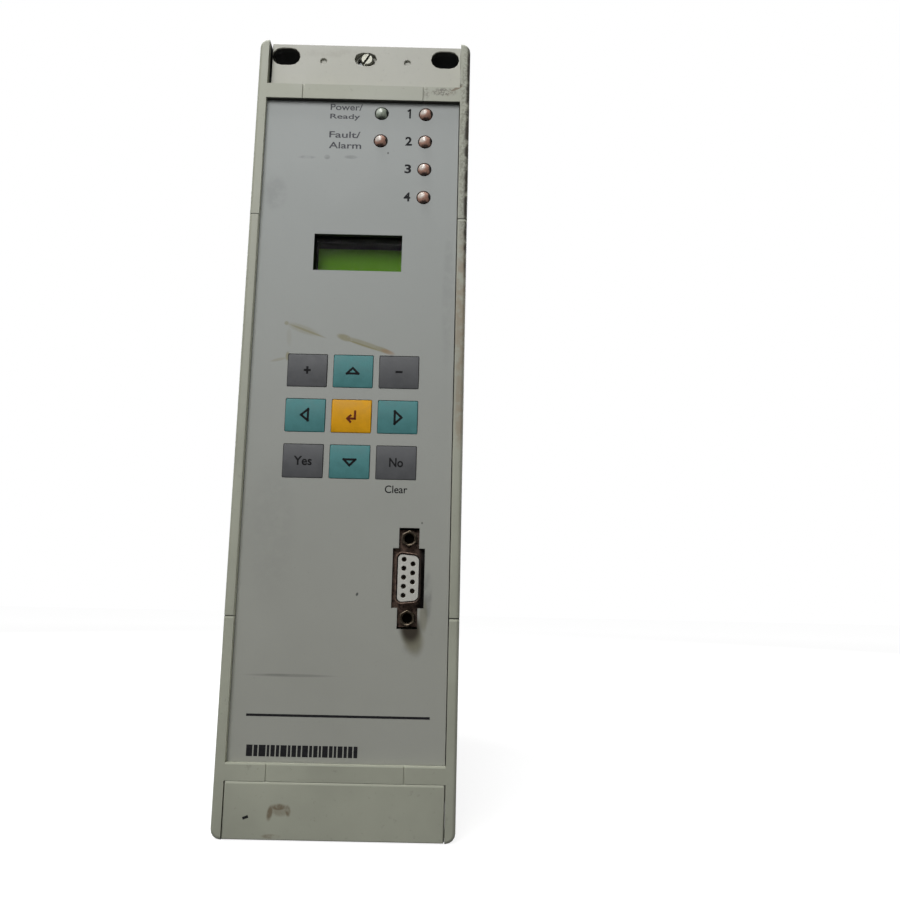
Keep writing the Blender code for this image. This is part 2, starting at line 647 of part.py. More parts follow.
def rear_plate(material):
    """Plate that closes the case, with an opening for each terminal block."""
    width = 2 * (HALF_CASE_WIDTH - CASE_SHEET - SEAT_GAP)
    height = 2 * (HALF_CASE_HEIGHT - CASE_SHEET - SEAT_GAP)

    def openings(bm):
        for row in (1, 0, -1):
            prism(bm, block_neck(SEAT_GAP, row * BLOCK_PITCH), REAR - REAR_PLATE_SHEET - SEAL_LAP,
                  REAR + SEAL_LAP)
        rod(bm, EARTH_X, EARTH_Z, EARTH_RADIUS + SEAT_GAP,
            (REAR - REAR_PLATE_SHEET - SEAL_LAP, REAR + SEAL_LAP), 10)

    solid("rear_plate", lambda bm: prism(bm, rectangle(width, height), REAR - REAR_PLATE_SHEET, REAR),
          material, cut=[openings])


# Front panel and what shows through it

def front_panel(material):
    """Panel plate with its openings, folded back at both ends, with four pillars for the front board."""
    width = 2 * (RAIL_INNER - PANEL_SIDE_GAP)
    top = CROSSBAR_BOTTOM - SEAT_GAP

    def behind(bm):
        for sign in (1, -1):
            ends = sorted((sign * (top - PANEL_FLANGE_SHEET), sign * top))
            box(bm, (-HALF_FRONT_BOARD, HALF_FRONT_BOARD),
                (PANEL_BACK - PANEL_SHEET / 2, PANEL_BACK + PANEL_FLANGE_DEPTH), ends)
            for z in (DISPLAY_Z + PILLAR_ABOVE_DISPLAY, FRONT_BOARD_BOTTOM + PILLAR_FROM_BOTTOM):
                rod(bm, sign * (HALF_FRONT_BOARD - PILLAR_FROM_SIDE), z, PILLAR_RADIUS,
                    (PANEL_BACK - PANEL_SHEET / 2, BOARD_SEAT), 8)

    def openings(bm):
        through = (PANEL_RECESS - SEAL_LAP, PANEL_BACK + SEAL_LAP)
        for x, z in lamp_places().values():
            rod(bm, x, z, LAMP_RADIUS + SEAT_GAP, through, 16)
        for x, z in key_places().values():
            prism(bm, rectangle(KEY_WIDTH + 2 * KEY_OPENING_GAP, KEY_HEIGHT + 2 * KEY_OPENING_GAP, x, z,
                                KEY_CORNER, 1), *through)
        prism(bm, rectangle(DISPLAY_WIDTH, DISPLAY_HEIGHT, DISPLAY_X, DISPLAY_Z), *through)
        prism(bm, port_cutout(), *through)

    solid("front_panel", lambda bm: prism(bm, rectangle(width, 2 * top), PANEL_RECESS, PANEL_BACK),
          material, joined=[behind], cut=[openings])


def port_cutout():
    """Cross-shaped opening round the port: wide at the shell, narrow at the screw locks."""
    wide, narrow = PORT_SHELL_WIDTH / 2 + PORT_CUTOUT_GAP, PORT_LOCK_RADIUS + PORT_TAB_GAP
    high, low = PORT_SCREW_Z + PORT_LOCK_RADIUS + PORT_TAB_END, PORT_SHELL_LENGTH / 2 + PORT_CUTOUT_GAP
    right = [(narrow, -high), (narrow, -low), (wide, -low), (wide, low), (narrow, low), (narrow, high)]
    around = right + [(-x, -z) for x, z in right]
    return [(PORT_X + x, PORT_Z + z) for x, z in around]


def key_places():
    """Centre of each key."""
    rows = (("plus", "up", "minus"), ("left", "enter", "right"), ("yes", "down", "no"))
    return {f"key_{name}": (KEYPAD_X + (column - 1) * KEY_PITCH, KEYPAD_Z - (row - 1) * KEY_PITCH)
            for row, names in enumerate(rows) for column, name in enumerate(names)}


def lamp_places():
    """Centre of each lamp."""
    left = LAMP_X - LAMP_COLUMN_SPACING
    places = {"lamp_service": (left, LAMP_TOP_Z), "lamp_blocked": (left, LAMP_TOP_Z - LAMP_PITCH)}
    for number in range(LAMP_ROWS):
        places[f"lamp_{number + 1}"] = (LAMP_X, LAMP_TOP_Z - number * LAMP_PITCH)
    return places


def key(name, place, material):
    """A key cap with a crowned face, a rim behind the panel and a stem over its switch."""
    front = PANEL_RECESS - KEY_PROUD
    rim_back = BEHIND_PANEL + KEY_RIM_THICKNESS
    stem_end = FRONT_BOARD_DEPTH - SWITCH_HEIGHT - PLUNGER_HEIGHT - KEY_SWITCH_GAP

    def cap(bm):
        steps = [(0, BEHIND_PANEL + KEY_RIM_THICKNESS / 2), (0, front + KEY_CROWN + KEY_EDGE),
                 (KEY_EDGE, front + KEY_CROWN), (KEY_CROWN_INSET, front)]
        loft(bm, [(rectangle(KEY_WIDTH - 2 * inset, KEY_HEIGHT - 2 * inset, corner=KEY_CORNER, segments=2),
                   depth) for inset, depth in steps])

    def rim(bm):
        prism(bm, rectangle(KEY_WIDTH + 2 * KEY_RIM, KEY_HEIGHT + 2 * KEY_RIM), BEHIND_PANEL, rim_back)

    def stem(bm):
        rod(bm, 0, 0, KEY_STEM_RADIUS, (rim_back - KEY_RIM_THICKNESS / 2, stem_end), 10)

    solid(name, cap, material, at=(place[0], 0, place[1]), joined=[rim, stem])


def lamp(name, place, material):
    """A round lamp with a domed lens, a rim behind the panel and two leads to the front board."""
    angles = [math.radians(angle) for angle in (0, 30, 60, 90)]
    dome = [(LAMP_RADIUS * math.sin(angle), LAMP_TIP + LAMP_RADIUS * (1 - math.cos(angle)))
            for angle in angles]
    rim_back = BEHIND_PANEL + LAMP_RIM_THICKNESS
    rim = LAMP_RADIUS + LAMP_RIM
    profile = dome + [(LAMP_RADIUS, BEHIND_PANEL), (rim, BEHIND_PANEL), (rim, rim_back),
                      (LAMP_RADIUS, rim_back), (LAMP_RADIUS, LAMP_LENGTH), (0, LAMP_LENGTH)]

    def leads(bm):
        for sign in (1, -1):
            middle = sign * LAMP_LEAD_SPACING / 2
            box(bm, (middle - LAMP_LEAD / 2, middle + LAMP_LEAD / 2), (LAMP_LENGTH - SEAL_LAP, BOARD_SEAT),
                (-LAMP_LEAD / 2, LAMP_LEAD / 2))

    solid(name, lambda bm: turned(bm, profile, 12), material, at=(place[0], 0, place[1]), joined=[leads])


def display(pane_material, bezel_material, module_material):
    """A clear pane, a deep black bezel and the display behind them."""
    pane_back = BEHIND_PANEL + DISPLAY_PANE
    bezel = (pane_back + SEAT_GAP, DISPLAY_GLASS_DEPTH - SEAT_GAP)
    at = (DISPLAY_X, 0, DISPLAY_Z)

    def grown(lap):
        return rectangle(DISPLAY_WIDTH + 2 * lap, DISPLAY_HEIGHT + 2 * lap)

    solid("display_window", lambda bm: prism(bm, grown(DISPLAY_PANE_LAP), BEHIND_PANEL, pane_back),
          pane_material, at=at)
    solid("display_bezel", lambda bm: prism(bm, grown(DISPLAY_BEZEL_WALL), *bezel), bezel_material, at=at,
          cut=[lambda bm: prism(bm, grown(0), bezel[0] - SEAL_LAP, bezel[1] + SEAL_LAP)])
    glass = (DISPLAY_GLASS_DEPTH, DISPLAY_GLASS_BACK + SEAT_GAP)
    solid("display_module", lambda bm: prism(bm, grown(DISPLAY_BODY_LAP), DISPLAY_GLASS_BACK, BOARD_SEAT),
          module_material, at=at, joined=[lambda bm: prism(bm, grown(DISPLAY_GLASS_LAP), *glass)])


# Serial port

def port(shell_material, insert_material, lock_material):
    """Pressed shell, moulded insert with nine contact holes, and two screw locks."""
    at = (PORT_X, 0, PORT_Z)
    flange_back = BEHIND_PANEL + PORT_FLANGE_SHEET

    def flange(bm):
        width = PORT_SHELL_WIDTH + 2 * (PORT_CUTOUT_GAP + PORT_FLANGE_LAP)
        height = 2 * (PORT_SCREW_Z + PORT_LOCK_RADIUS + PORT_FLANGE_END)
        prism(bm, rectangle(width, height, corner=PORT_FLANGE_CORNER, segments=2),
              BEHIND_PANEL, flange_back)

    def shell(bm):
        prism(bm, port_outline(0), PORT_SHELL_FRONT, BEHIND_PANEL + PORT_FLANGE_SHEET / 2)

    def inside(bm):
        prism(bm, port_outline(-PORT_SHELL_WALL), PORT_SHELL_FRONT - SEAL_LAP, flange_back + SEAL_LAP)
        for sign in (1, -1):
            rod(bm, 0, sign * PORT_SCREW_Z, PORT_LOCK_SHANK_RADIUS + SEAT_GAP,
                (BEHIND_PANEL - SEAL_LAP, flange_back + SEAL_LAP), 10)

    def insert(bm):
        prism(bm, port_outline(-PORT_SHELL_WALL - SEAT_GAP), PORT_INSERT_FRONT, flange_back + SEAL_LAP)

    def insert_body(bm):
        prism(bm, rectangle(PORT_BODY_WIDTH, PORT_BODY_HEIGHT), flange_back + SEAT_GAP, BOARD_SEAT)

    def contacts(bm):
        for column, count in ((-1, 5), (1, 4)):
            for pin in range(count):
                z = (pin - (count - 1) / 2) * PORT_PIN_PITCH
                rod(bm, column * PORT_ROW_SPACING / 2, z, PORT_PIN_RADIUS,
                    (PORT_INSERT_FRONT - SEAL_LAP, PORT_INSERT_FRONT + PORT_PIN_DEPTH), 8)

    def lock_head(bm):
        rod(bm, 0, 0, PORT_LOCK_RADIUS, (PORT_LOCK_FRONT, BEHIND_PANEL - SEAT_GAP), 6)

    def lock_shank(bm):
        start = BEHIND_PANEL - SEAT_GAP
        rod(bm, 0, 0, PORT_LOCK_SHANK_RADIUS, (start - SEAT_GAP, start + PORT_LOCK_SHANK_LENGTH), 10)

    def lock_hole(bm):
        rod(bm, 0, 0, PORT_LOCK_HOLE_RADIUS,
            (PORT_LOCK_FRONT - SEAL_LAP, PORT_LOCK_FRONT + PORT_LOCK_HOLE_DEPTH), 10)

    solid("port_shell", flange, shell_material, at=at, joined=[shell], cut=[inside])
    solid("port_insert", insert, insert_material, at=at, joined=[insert_body], cut=[contacts])
    for name, sign in (("port_screw_upper", 1), ("port_screw_lower", -1)):
        solid(name, lock_head, lock_material, at=(PORT_X, 0, PORT_Z + sign * PORT_SCREW_Z),
              joined=[lock_shank], cut=[lock_hole])


# Boards

def front_board(material):
    """Board behind the panel, with a switch under each key and the header of the ribbon cable."""
    back = FRONT_BOARD_DEPTH + BOARD_SHEET
    switch_front = FRONT_BOARD_DEPTH - SWITCH_HEIGHT

    def sheet(bm):
        box(bm, (-HALF_FRONT_BOARD, HALF_FRONT_BOARD), (FRONT_BOARD_DEPTH, back),
            (FRONT_BOARD_BOTTOM, FRONT_BOARD_TOP))

    def switches(bm):
        side = SWITCH_SIDE / 2
        for x, z in key_places().values():
            box(bm, (x - side, x + side), (switch_front, FRONT_BOARD_DEPTH + BOARD_SHEET / 2),
                (z - side, z + side))

    def header(bm):
        box(bm, (RIBBON_X - HEADER_SIZE / 2, RIBBON_X + HEADER_SIZE / 2),
            (back - BOARD_SHEET / 4, back + HEADER_SIZE),
            (RIBBON_Z - HEADER_HEIGHT / 2, RIBBON_Z + HEADER_HEIGHT / 2))

    def plungers(bm):
        for x, z in key_places().values():
            rod(bm, x, z, PLUNGER_RADIUS, (switch_front - PLUNGER_HEIGHT, switch_front + SEAT_GAP), 8)

    solid("front_board", sheet, material, joined=[switches, header, plungers])


def main_board(name, x, side, chips, material, header=()):
    """A board along the case; side is the way that its chips and its header face."""
    half = BOARD_SHEET / 2
    edge = HALF_CASE_HEIGHT - CASE_SHEET - SEAT_GAP - GUIDE_GROOVE - SEAT_GAP
    face = x + side * half

    def sheet(bm):
        box(bm, (x - half, x + half), (MAIN_BOARD_FRONT, MAIN_BOARD_END), (-edge, edge))

    def parts(bm):
        for reach, places in ((CHIP_THICKNESS, chips), (HEADER_SIZE, header)):
            for from_front, z, length, height in places:
                y = MAIN_BOARD_FRONT + from_front
                box(bm, sorted((face - side * half, face + side * reach)), (y - length / 2, y + length / 2),
                    (z - height / 2, z + height / 2))

    solid(name, sheet, material, joined=[parts])


def card_guides(material):
    """A grooved guide above and below each main board."""
    outer = HALF_CASE_HEIGHT - CASE_SHEET - SEAT_GAP
    groove = BOARD_SHEET / 2 + SEAT_GAP
    half = GUIDE_WIDTH / 2
    inner = outer - GUIDE_HEIGHT
    floor = outer - GUIDE_GROOVE
    for side, x in (("right", PROCESSOR_BOARD_X), ("left", INPUT_BOARD_X)):
        section = [(x - half, inner), (x - half, outer), (x + half, outer), (x + half, inner),
                   (x + groove, inner), (x + groove, floor), (x - groove, floor), (x - groove, inner)]
        for end, sign in (("upper", 1), ("lower", -1)):
            solid(f"card_guide_{end}_{side}",
                  lambda bm: prism(bm, [(a, sign * b) for a, b in section],
                                   MAIN_BOARD_FRONT + GUIDE_FRONT_INSET, MAIN_BOARD_END - GUIDE_REAR_INSET),
                  material)


def ribbon_cable(material):
    """Flat cable from the front board's header, bent once into the header of the processor board."""
    start = FRONT_BOARD_DEPTH + BOARD_SHEET + HEADER_SIZE + SEAT_GAP
    end = PROCESSOR_BOARD_X - BOARD_SHEET / 2 - HEADER_SIZE - SEAT_GAP
    half = RIBBON_THICKNESS / 2
    path = [(RIBBON_X + half, start), (RIBBON_X + half, RIBBON_REACH - half, RIBBON_BEND - half),
            (end, RIBBON_REACH - half), (end, RIBBON_REACH + half),
            (RIBBON_X - half, RIBBON_REACH + half, RIBBON_BEND + half), (RIBBON_X - half, start)]
    high = HEADER_HEIGHT / 2 - SEAT_GAP
    solid("ribbon_cable", lambda bm: prism(bm, outline(path, 5), RIBBON_Z - high, RIBBON_Z + high, "Z"),
          material)


def transformer(name, y, z, core, coil, reach, material):
    """A core and the coil that bulges out of it, standing on the input board."""
    base = INPUT_BOARD_X + BOARD_SHEET / 2 + SEAT_GAP

    def iron(bm):
        prism(bm, rectangle(core[0], core[1], y, z, CORE_CORNER, 1), base, base + reach, "X")

    def winding(bm):
        prism(bm, rectangle(coil[0], coil[1], y, z, COIL_CORNER, 2), base + COIL_INSET,
              base + reach - COIL_INSET, "X")

    solid(name, iron, material, joined=[winding])


def output_relay(name, z, material):
    """A small sealed relay on the processor board."""
    base = PROCESSOR_BOARD_X - BOARD_SHEET / 2 - SEAT_GAP
    case = rectangle(RELAY_LENGTH, RELAY_HEIGHT, MAIN_BOARD_END - RELAYS_FROM_END, z, RELAY_CORNER, 1)
    solid(name, lambda bm: prism(bm, case, base - RELAY_REACH, base, "X"), material)


def capacitor(name, z, material):
    """A can that stands off the processor board, with a rolled groove near its foot."""
    base = PROCESSOR_BOARD_X - BOARD_SHEET / 2 - SEAT_GAP
    radius, top, groove = CAPACITOR_RADIUS, -CAPACITOR_LENGTH, CAPACITOR_GROOVE
    profile = [(0, top), (radius - CAPACITOR_EDGE, top), (radius, top + CAPACITOR_EDGE),
               (radius, -CAPACITOR_FOOT - 2 * groove), (radius - groove, -CAPACITOR_FOOT - groove),
               (radius, -CAPACITOR_FOOT), (radius, 0), (0, 0)]

    def can(bm):
        turned(bm, profile, 14)
        bmesh.ops.rotate(bm, cent=(0, 0, 0), matrix=Matrix.Rotation(-math.pi / 2, 3, "Z"), verts=bm.verts)

    solid(name, can, material, at=(base, MAIN_BOARD_FRONT + CAPACITORS_FROM_FRONT, z))


# Rear terminals

def block_neck(grow, z=0.0):
    """Outline of a terminal block's neck; grow moves it outwards."""
    width = BLOCK_WIDTH - 2 * (BLOCK_SLOPE + NECK_INSET_X - grow)
    return rectangle(width, BLOCK_HEIGHT - 2 * (NECK_INSET_Z - grow), z=z)


def terminal_block(name, row, pitch, well_radius, material):
    """A plug-in block with two columns of screws along its ridge and wire entries on its shoulders."""
    count = int((BLOCK_HEIGHT - 2 * BLOCK_END_WALL) / pitch)
    front, back = REAR + SEAT_GAP, REAR + TERMINAL_REACH
    half, ridge = BLOCK_WIDTH / 2, BLOCK_WIDTH / 2 - BLOCK_SLOPE
    shoulder = back - BLOCK_SHOULDER
    section = outline([(half, front), (half, shoulder), (ridge, back, BLOCK_CORNER),
                       (-ridge, back, BLOCK_CORNER), (-half, shoulder), (-half, front)], 2)
    places = [(sign, (step - (count - 1) / 2) * pitch) for sign in (1, -1) for step in range(count)]

    def neck(bm):
        prism(bm, block_neck(0), REAR - BLOCK_NECK_LENGTH, front + SEAL_LAP)

    def wells(bm):
        side = ENTRY_SIDE / 2
        for sign, z in places:
            rod(bm, sign * (ridge - SCREW_FROM_RIDGE), z, well_radius,
                (back - WELL_DEPTH, back + SEAL_LAP), 10)
            middle = sign * (half - ENTRY_FROM_SIDE)
            box(bm, (middle - side, middle + side), (back - ENTRY_DEPTH, back + SEAL_LAP),
                (z - side, z + side))

    def slots(bm):
        reach = well_radius - TERMINAL_SLOT_INSET
        for sign, z in places:
            middle = sign * (ridge - SCREW_FROM_RIDGE)
            box(bm, (middle - reach, middle + reach),
                (back - WELL_DEPTH - TERMINAL_SLOT_DEPTH, back - WELL_DEPTH + SEAT_GAP),
                (z - TERMINAL_SLOT_WIDTH / 2, z + TERMINAL_SLOT_WIDTH / 2))

    half_height = BLOCK_HEIGHT / 2
    solid(name, lambda bm: prism(bm, section, -half_height, half_height, "Z"), material,
          at=(0, 0, row * BLOCK_PITCH), joined=[neck], cut=[wells, slots])


def earth_screw(material):
    """Hexagon screw and washer on the rear plate, for the protective earth."""
    washer_back = REAR + SEAT_GAP + EARTH_WASHER_HEIGHT

    def washer(bm):
        rod(bm, 0, 0, EARTH_WASHER_RADIUS, (REAR + SEAT_GAP, washer_back), 16)

    def head(bm):
        rod(bm, 0, 0, EARTH_HEAD_RADIUS, (washer_back - SEAT_GAP, washer_back + EARTH_HEAD_HEIGHT), 6)

    def shank(bm):
        rod(bm, 0, 0, EARTH_RADIUS, (REAR - EARTH_LENGTH, REAR + SEAT_GAP + EARTH_WASHER_HEIGHT / 2), 10)

    solid("earth_screw", washer, material, at=(EARTH_X, 0, EARTH_Z), joined=[head, shank])


# The relay

def build():
    """Make every piece of the relay."""
    frame_plastic = finish("frame_plastic", "#A5A597", 0.5)
    bracket_plastic = finish("bracket_plastic", "#AEAEA1", 0.5)
    panel_foil = finish("panel_foil", "#9A9E9E", 0.45)
    key_colours = {"grey": finish("key_grey", "#66686A", 0.5), "teal": finish("key_teal", "#5C9696", 0.5),
                   "yellow": finish("key_yellow", "#E0A424", 0.5)}
    clear_red = finish("lamp_red", "#B98A80", 0.15)
    clear_green = finish("lamp_green", "#8FA58F", 0.15)
    black_plastic = finish("black_plastic", "#17181A", 0.5)
    display_green = finish("display_green", "#5E8A26", 0.3)
    pane_clear = finish("pane_clear", "#D8DEDC", 0.1)
    dark_tin = finish("dark_tin", "#4A4238", 0.45, 1.0)
    port_white = finish("port_white", "#B4B6B2", 0.5)
    zinc_sheet = finish("zinc_sheet", "#B4B8B8", 0.4, 1.0)
    bright_steel = finish("bright_steel", "#C2C2BC", 0.3, 1.0)
    board_green = finish("board_green", "#2F5B3A", 0.5)
    guide_grey = finish("guide_grey", "#8A8C8C", 0.6)
    cable_grey = finish("cable_grey", "#9DA0A2", 0.6)
    iron_core = finish("iron_core", "#4C4A48", 0.6, 0.5)
    relay_blue = finish("relay_blue", "#2F4F86", 0.5)
    can_black = finish("can_black", "#22242A", 0.4)

    front_frame("front_frame_top", frame_plastic, 0.0)
    front_frame("front_frame_bottom", frame_plastic, math.pi)
    side_strip("side_strip_right", frame_plastic, 0.0)
    side_strip("side_strip_left", frame_plastic, math.pi)
    bracket("bracket_top", bracket_plastic, 0.0)
    bracket("bracket_bottom", bracket_plastic, math.pi)
    bracket_screw("bracket_screw_top", bright_steel, 0.0)
    bracket_screw("bracket_screw_bottom", bright_steel, math.pi)
    cover_cap(frame_plastic)
    housing(zinc_sheet)
    rear_plate(zinc_sheet)
    front_panel(panel_foil)

    key_finish = {"key_up": "teal", "key_left": "teal", "key_right": "teal", "key_down": "teal",
                  "key_enter": "yellow"}
    for name, place in key_places().items():
        key(name, place, key_colours[key_finish.get(name, "grey")])
    for name, place in lamp_places().items():
        lamp(name, place, clear_green if name == "lamp_service" else clear_red)
    display(pane_clear, black_plastic, display_green)
    port(dark_tin, port_white, dark_tin)

    front_board(board_green)
    header = [(RIBBON_FROM_FRONT, RIBBON_Z, HEADER_SIZE, HEADER_HEIGHT)]
    main_board("processor_board", PROCESSOR_BOARD_X, -1, PROCESSOR_CHIPS, board_green, header)
    main_board("input_board", INPUT_BOARD_X, 1, INPUT_CHIPS, board_green)
    card_guides(guide_grey)
    ribbon_cable(cable_grey)
    for number in range(TRANSFORMERS):
        z = TRANSFORMERS_FROM_BOTTOM - HALF_CASE_HEIGHT + (TRANSFORMERS - 1 - number) * TRANSFORMER_PITCH
        transformer(f"input_transformer_{number + 1}", MAIN_BOARD_END - TRANSFORMERS_FROM_END, z,
                    (CORE_LENGTH, CORE_HEIGHT), (COIL_LENGTH, COIL_HEIGHT), CORE_REACH, iron_core)
    transformer("power_transformer", MAIN_BOARD_END - POWER_FROM_END, HALF_CASE_HEIGHT - POWER_FROM_TOP,
                (POWER_COIL_SIDE, POWER_SIDE), (POWER_SIDE, POWER_COIL_SIDE), POWER_REACH, iron_core)
    for number in range(RELAYS):
        z = HALF_CASE_HEIGHT - RELAYS_FROM_TOP - number * RELAY_PITCH
        output_relay(f"output_relay_{number + 1}", z, relay_blue)
    for number in range(CAPACITORS):
        z = HALF_CASE_HEIGHT - CAPACITORS_FROM_TOP - number * CAPACITOR_PITCH
        capacitor(f"capacitor_{number + 1}", z, can_black)

    for name, row in (("voltage_terminals_upper", 1), ("voltage_terminals_lower", 0)):
        terminal_block(name, row, VOLTAGE_ROW_PITCH, VOLTAGE_WELL_RADIUS, black_plastic)
    terminal_block("current_terminals", -1, CURRENT_ROW_PITCH, CURRENT_WELL_RADIUS, black_plastic)
    earth_screw(bright_steel)


for old in list(bpy.data.objects):
    bpy.data.objects.remove(old, do_unlink=True)

FACE = bpy.data.objects.new("face_centre", None)
FACE.location = (0, -TOTAL_DEPTH / 2 * MM, HALF_HEIGHT * MM)
bpy.context.collection.objects.link(FACE)
build()
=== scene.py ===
"""Looks of the flush-mounting protection relay.

Places are in millimetres from the centre of the relay's face: x to the right, y backwards into the
relay, z up. Each piece is drawn there and its mesh is then moved to the relay's place in metres.
"""
import math

import bmesh
import bpy
from mathutils import Matrix, Vector

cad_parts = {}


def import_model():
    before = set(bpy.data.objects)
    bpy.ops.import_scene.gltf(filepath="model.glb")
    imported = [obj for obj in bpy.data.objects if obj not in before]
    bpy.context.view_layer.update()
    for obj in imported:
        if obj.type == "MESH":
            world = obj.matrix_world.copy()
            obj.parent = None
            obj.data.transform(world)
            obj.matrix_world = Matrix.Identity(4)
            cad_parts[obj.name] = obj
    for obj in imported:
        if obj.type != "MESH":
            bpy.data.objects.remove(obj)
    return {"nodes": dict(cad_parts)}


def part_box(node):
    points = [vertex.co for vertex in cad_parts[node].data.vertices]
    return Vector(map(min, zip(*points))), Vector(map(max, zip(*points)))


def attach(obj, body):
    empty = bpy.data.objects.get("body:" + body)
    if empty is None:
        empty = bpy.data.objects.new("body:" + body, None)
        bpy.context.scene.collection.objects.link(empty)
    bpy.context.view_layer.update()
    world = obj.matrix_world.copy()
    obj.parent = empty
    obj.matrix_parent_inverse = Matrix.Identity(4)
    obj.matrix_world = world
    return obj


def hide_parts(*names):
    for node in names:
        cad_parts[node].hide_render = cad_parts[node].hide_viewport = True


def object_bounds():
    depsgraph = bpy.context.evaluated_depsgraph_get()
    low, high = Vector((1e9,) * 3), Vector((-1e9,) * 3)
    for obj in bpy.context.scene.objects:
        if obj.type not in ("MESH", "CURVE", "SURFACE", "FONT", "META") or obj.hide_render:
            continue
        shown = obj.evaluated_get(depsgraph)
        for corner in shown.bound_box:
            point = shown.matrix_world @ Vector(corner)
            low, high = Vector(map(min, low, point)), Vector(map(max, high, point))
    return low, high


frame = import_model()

bl_info = {
    "name": "Protection relay",
    "version": (1, 0, 0),
    "blender": (4, 5, 0),
    "location": "3D View > Sidebar > Relay",
    "description": "Dresses the packed model of a protection relay for a still picture",
    "category": "Object",
}

MM = 0.001
CAD_BOX = [list(corner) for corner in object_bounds()]
FACE = Matrix.Translation((0, CAD_BOX[0][1], (CAD_BOX[0][2] + CAD_BOX[1][2]) / 2)) @ Matrix.Scale(MM, 4)

# Places and sizes about the face, in millimetres
PANEL_FRONT = 1.8
PANEL_SIDES = (-33.66, 33.45)
SLIT_X, SLIT_DEPTH = 21.0, 0.4      # narrow slits in the crossbars
SOLID_JOINT = 67.1                  # the rails' joints in the solids, and where the photo has them
JOINT_UPPER_RIGHT, JOINT_UPPER_LEFT = 67.25, 67.5
JOINT_LOWER_RIGHT, JOINT_LOWER_LEFT = -66.15, -66.7
JOINT_HALF_GAP = 0.015
PEG_X, PEG_Z = 14.85, 126.7
LAMP_HOLE_RADIUS = 2.42
PORT_HALF_WIDTH, PORT_HALF_LENGTH, PORT_CORNER = 4.15, 8.45, 2.4
PORT_TAPER = math.radians(6)
PORT_FLANGE = (4.1, 4.9)
PORT_LOCK_Z = 12.495
PORT_COLUMN_X, PORT_PIN_PITCH, PORT_PIN_SHIFT = 1.42, 2.83, 0.2
SHARP, SMOOTH = math.radians(40), math.radians(35)  # edges are rounded above, shaded over below
DIRT_DEPTH = 6                      # how far behind the face painted dirt reaches
KEY_RIM = LENS_RIM = 0.6            # what a key and a lens have round them behind the panel
RULE_ENDS, RULE_WIDTH = ((-28.45, -96.66), (28.4, -96.66)), 0.75
BARS_LEFT, BARS_Z, BAR_GAP = -27.8, (-108.9, -105.5), 0.37
BAR_WIDTHS = (1.9, 1.2, 2.1, 0.8, 1.3, 1.0, 1.9, 0.8, 1.4, 1.1, 1.8, 0.9, 1.3, 0.7, 1.7, 1.1, 0.8, 1.5,
              1.0, 1.3, 1.2)
CAMERA_PLACE, CAMERA_DEGREES = (31.6, -279.4, -60.6), (99.775, -1.227, -0.468)

TERMINALS = (("voltage_terminals_upper", 9, 7.6, 2.6), ("voltage_terminals_lower", 9, 7.6, 2.6),
             ("current_terminals", 4, 16.5, 3.8))   # node, rows, their pitch, radius of a well
LAMPS = ("lamp_service", "lamp_blocked", "lamp_1", "lamp_2", "lamp_3", "lamp_4")
KEY_FINISH = {"key_plus": "grey", "key_up": "teal", "key_minus": "grey", "key_left": "teal",
              "key_enter": "yellow", "key_right": "teal", "key_yes": "grey", "key_down": "teal",
              "key_no": "grey"}


# Sizes and colours that a user would change

def linear(hex_colour):
    """Turn an sRGB hex colour into the linear values that the shaders use."""
    channels = [int(hex_colour[i:i + 2], 16) / 255 for i in (1, 3, 5)]
    return [c / 12.92 if c <= 0.04045 else ((c + 0.055) / 1.055) ** 2.4 for c in channels]


def opaque(hex_colour):
    """An sRGB hex colour as the four channels of a colour socket."""
    return (*linear(hex_colour), 1.0)


def length(name, description, millimetres):
    """A length property with its default given in millimetres."""
    return bpy.props.FloatProperty(name=name, description=description, default=millimetres * MM,
                                   min=0, unit="LENGTH", precision=5)


def colour(name, description, hex_colour):
    """A colour property with its default given as an sRGB hex value."""
    return bpy.props.FloatVectorProperty(name=name, description=description, subtype="COLOR", size=3,
                                         min=0, max=1, default=linear(hex_colour))


class RelaySizes(bpy.types.PropertyGroup):
    """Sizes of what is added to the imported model."""

    moulded_edge: length("Moulded edge", "Rounding of the frame's and the caps' edges", 0.35)
    slit_edge: length("Slit edge", "Rounding where the narrow slits meet the frame's face", 0.1)
    sheet_edge: length("Sheet edge", "Rounding of the sheet steel's cut edges", 0.15)
    foil_edge: length("Foil edge", "Rounding of the front panel's openings", 0.12)
    key_edge: length("Key edge", "Rounding round a key's face", 0.25)
    key_crown: length("Key crown", "How far a key's middle stands before its edges", 0.5)
    ink: length("Ink", "Thickness of the printing", 0.02)
    stroke: length("Stroke", "Width of a printed line", 0.72)
    spangle: length("Spangle", "Width of a zinc crystal on the case", 9.0)


class RelayColours(bpy.types.PropertyGroup):
    """Base colours of the relay's finishes."""

    frame: colour("Frame", "Aged beige-grey moulding", "#9D9F90")
    bracket: colour("Bracket", "Mounting bracket's moulding", "#AAAA9F")
    panel: colour("Panel", "Printed foil on the front panel", "#969A98")
    # panel_low is a painted tint of the light: the foil turns warmer towards its lower end.
    panel_low: colour("Panel, lower end", "The same foil where more dust has settled", "#96978F")
    grey: colour("Grey keys", "Moulded grey key caps", "#58595B")
    teal: colour("Teal keys", "Moulded teal key caps", "#4B8081")
    yellow: colour("Yellow key", "Moulded yellow key cap", "#D3980A")
    ink: colour("Ink", "Black printing", "#1D1D1F")
    red_ink: colour("Enter ink", "Dark red printing on the yellow key", "#5A2410")
    display: colour("Display", "Green reflective display", "#5F980E")
    zinc: colour("Zinc", "Galvanised sheet steel", "#B0B4B4")
    streak: colour("Streaks", "Dried brown liquid on the panel", "#7D7856")
    stain: colour("Stain", "Brown dirt", "#6F6450")
    handled: colour("Handled plastic", "Pinkish brown where hands have held the rail", "#84694F")


def size(name):
    """A size from the sidebar, in millimetres."""
    return getattr(bpy.context.scene.relay_sizes, name) / MM


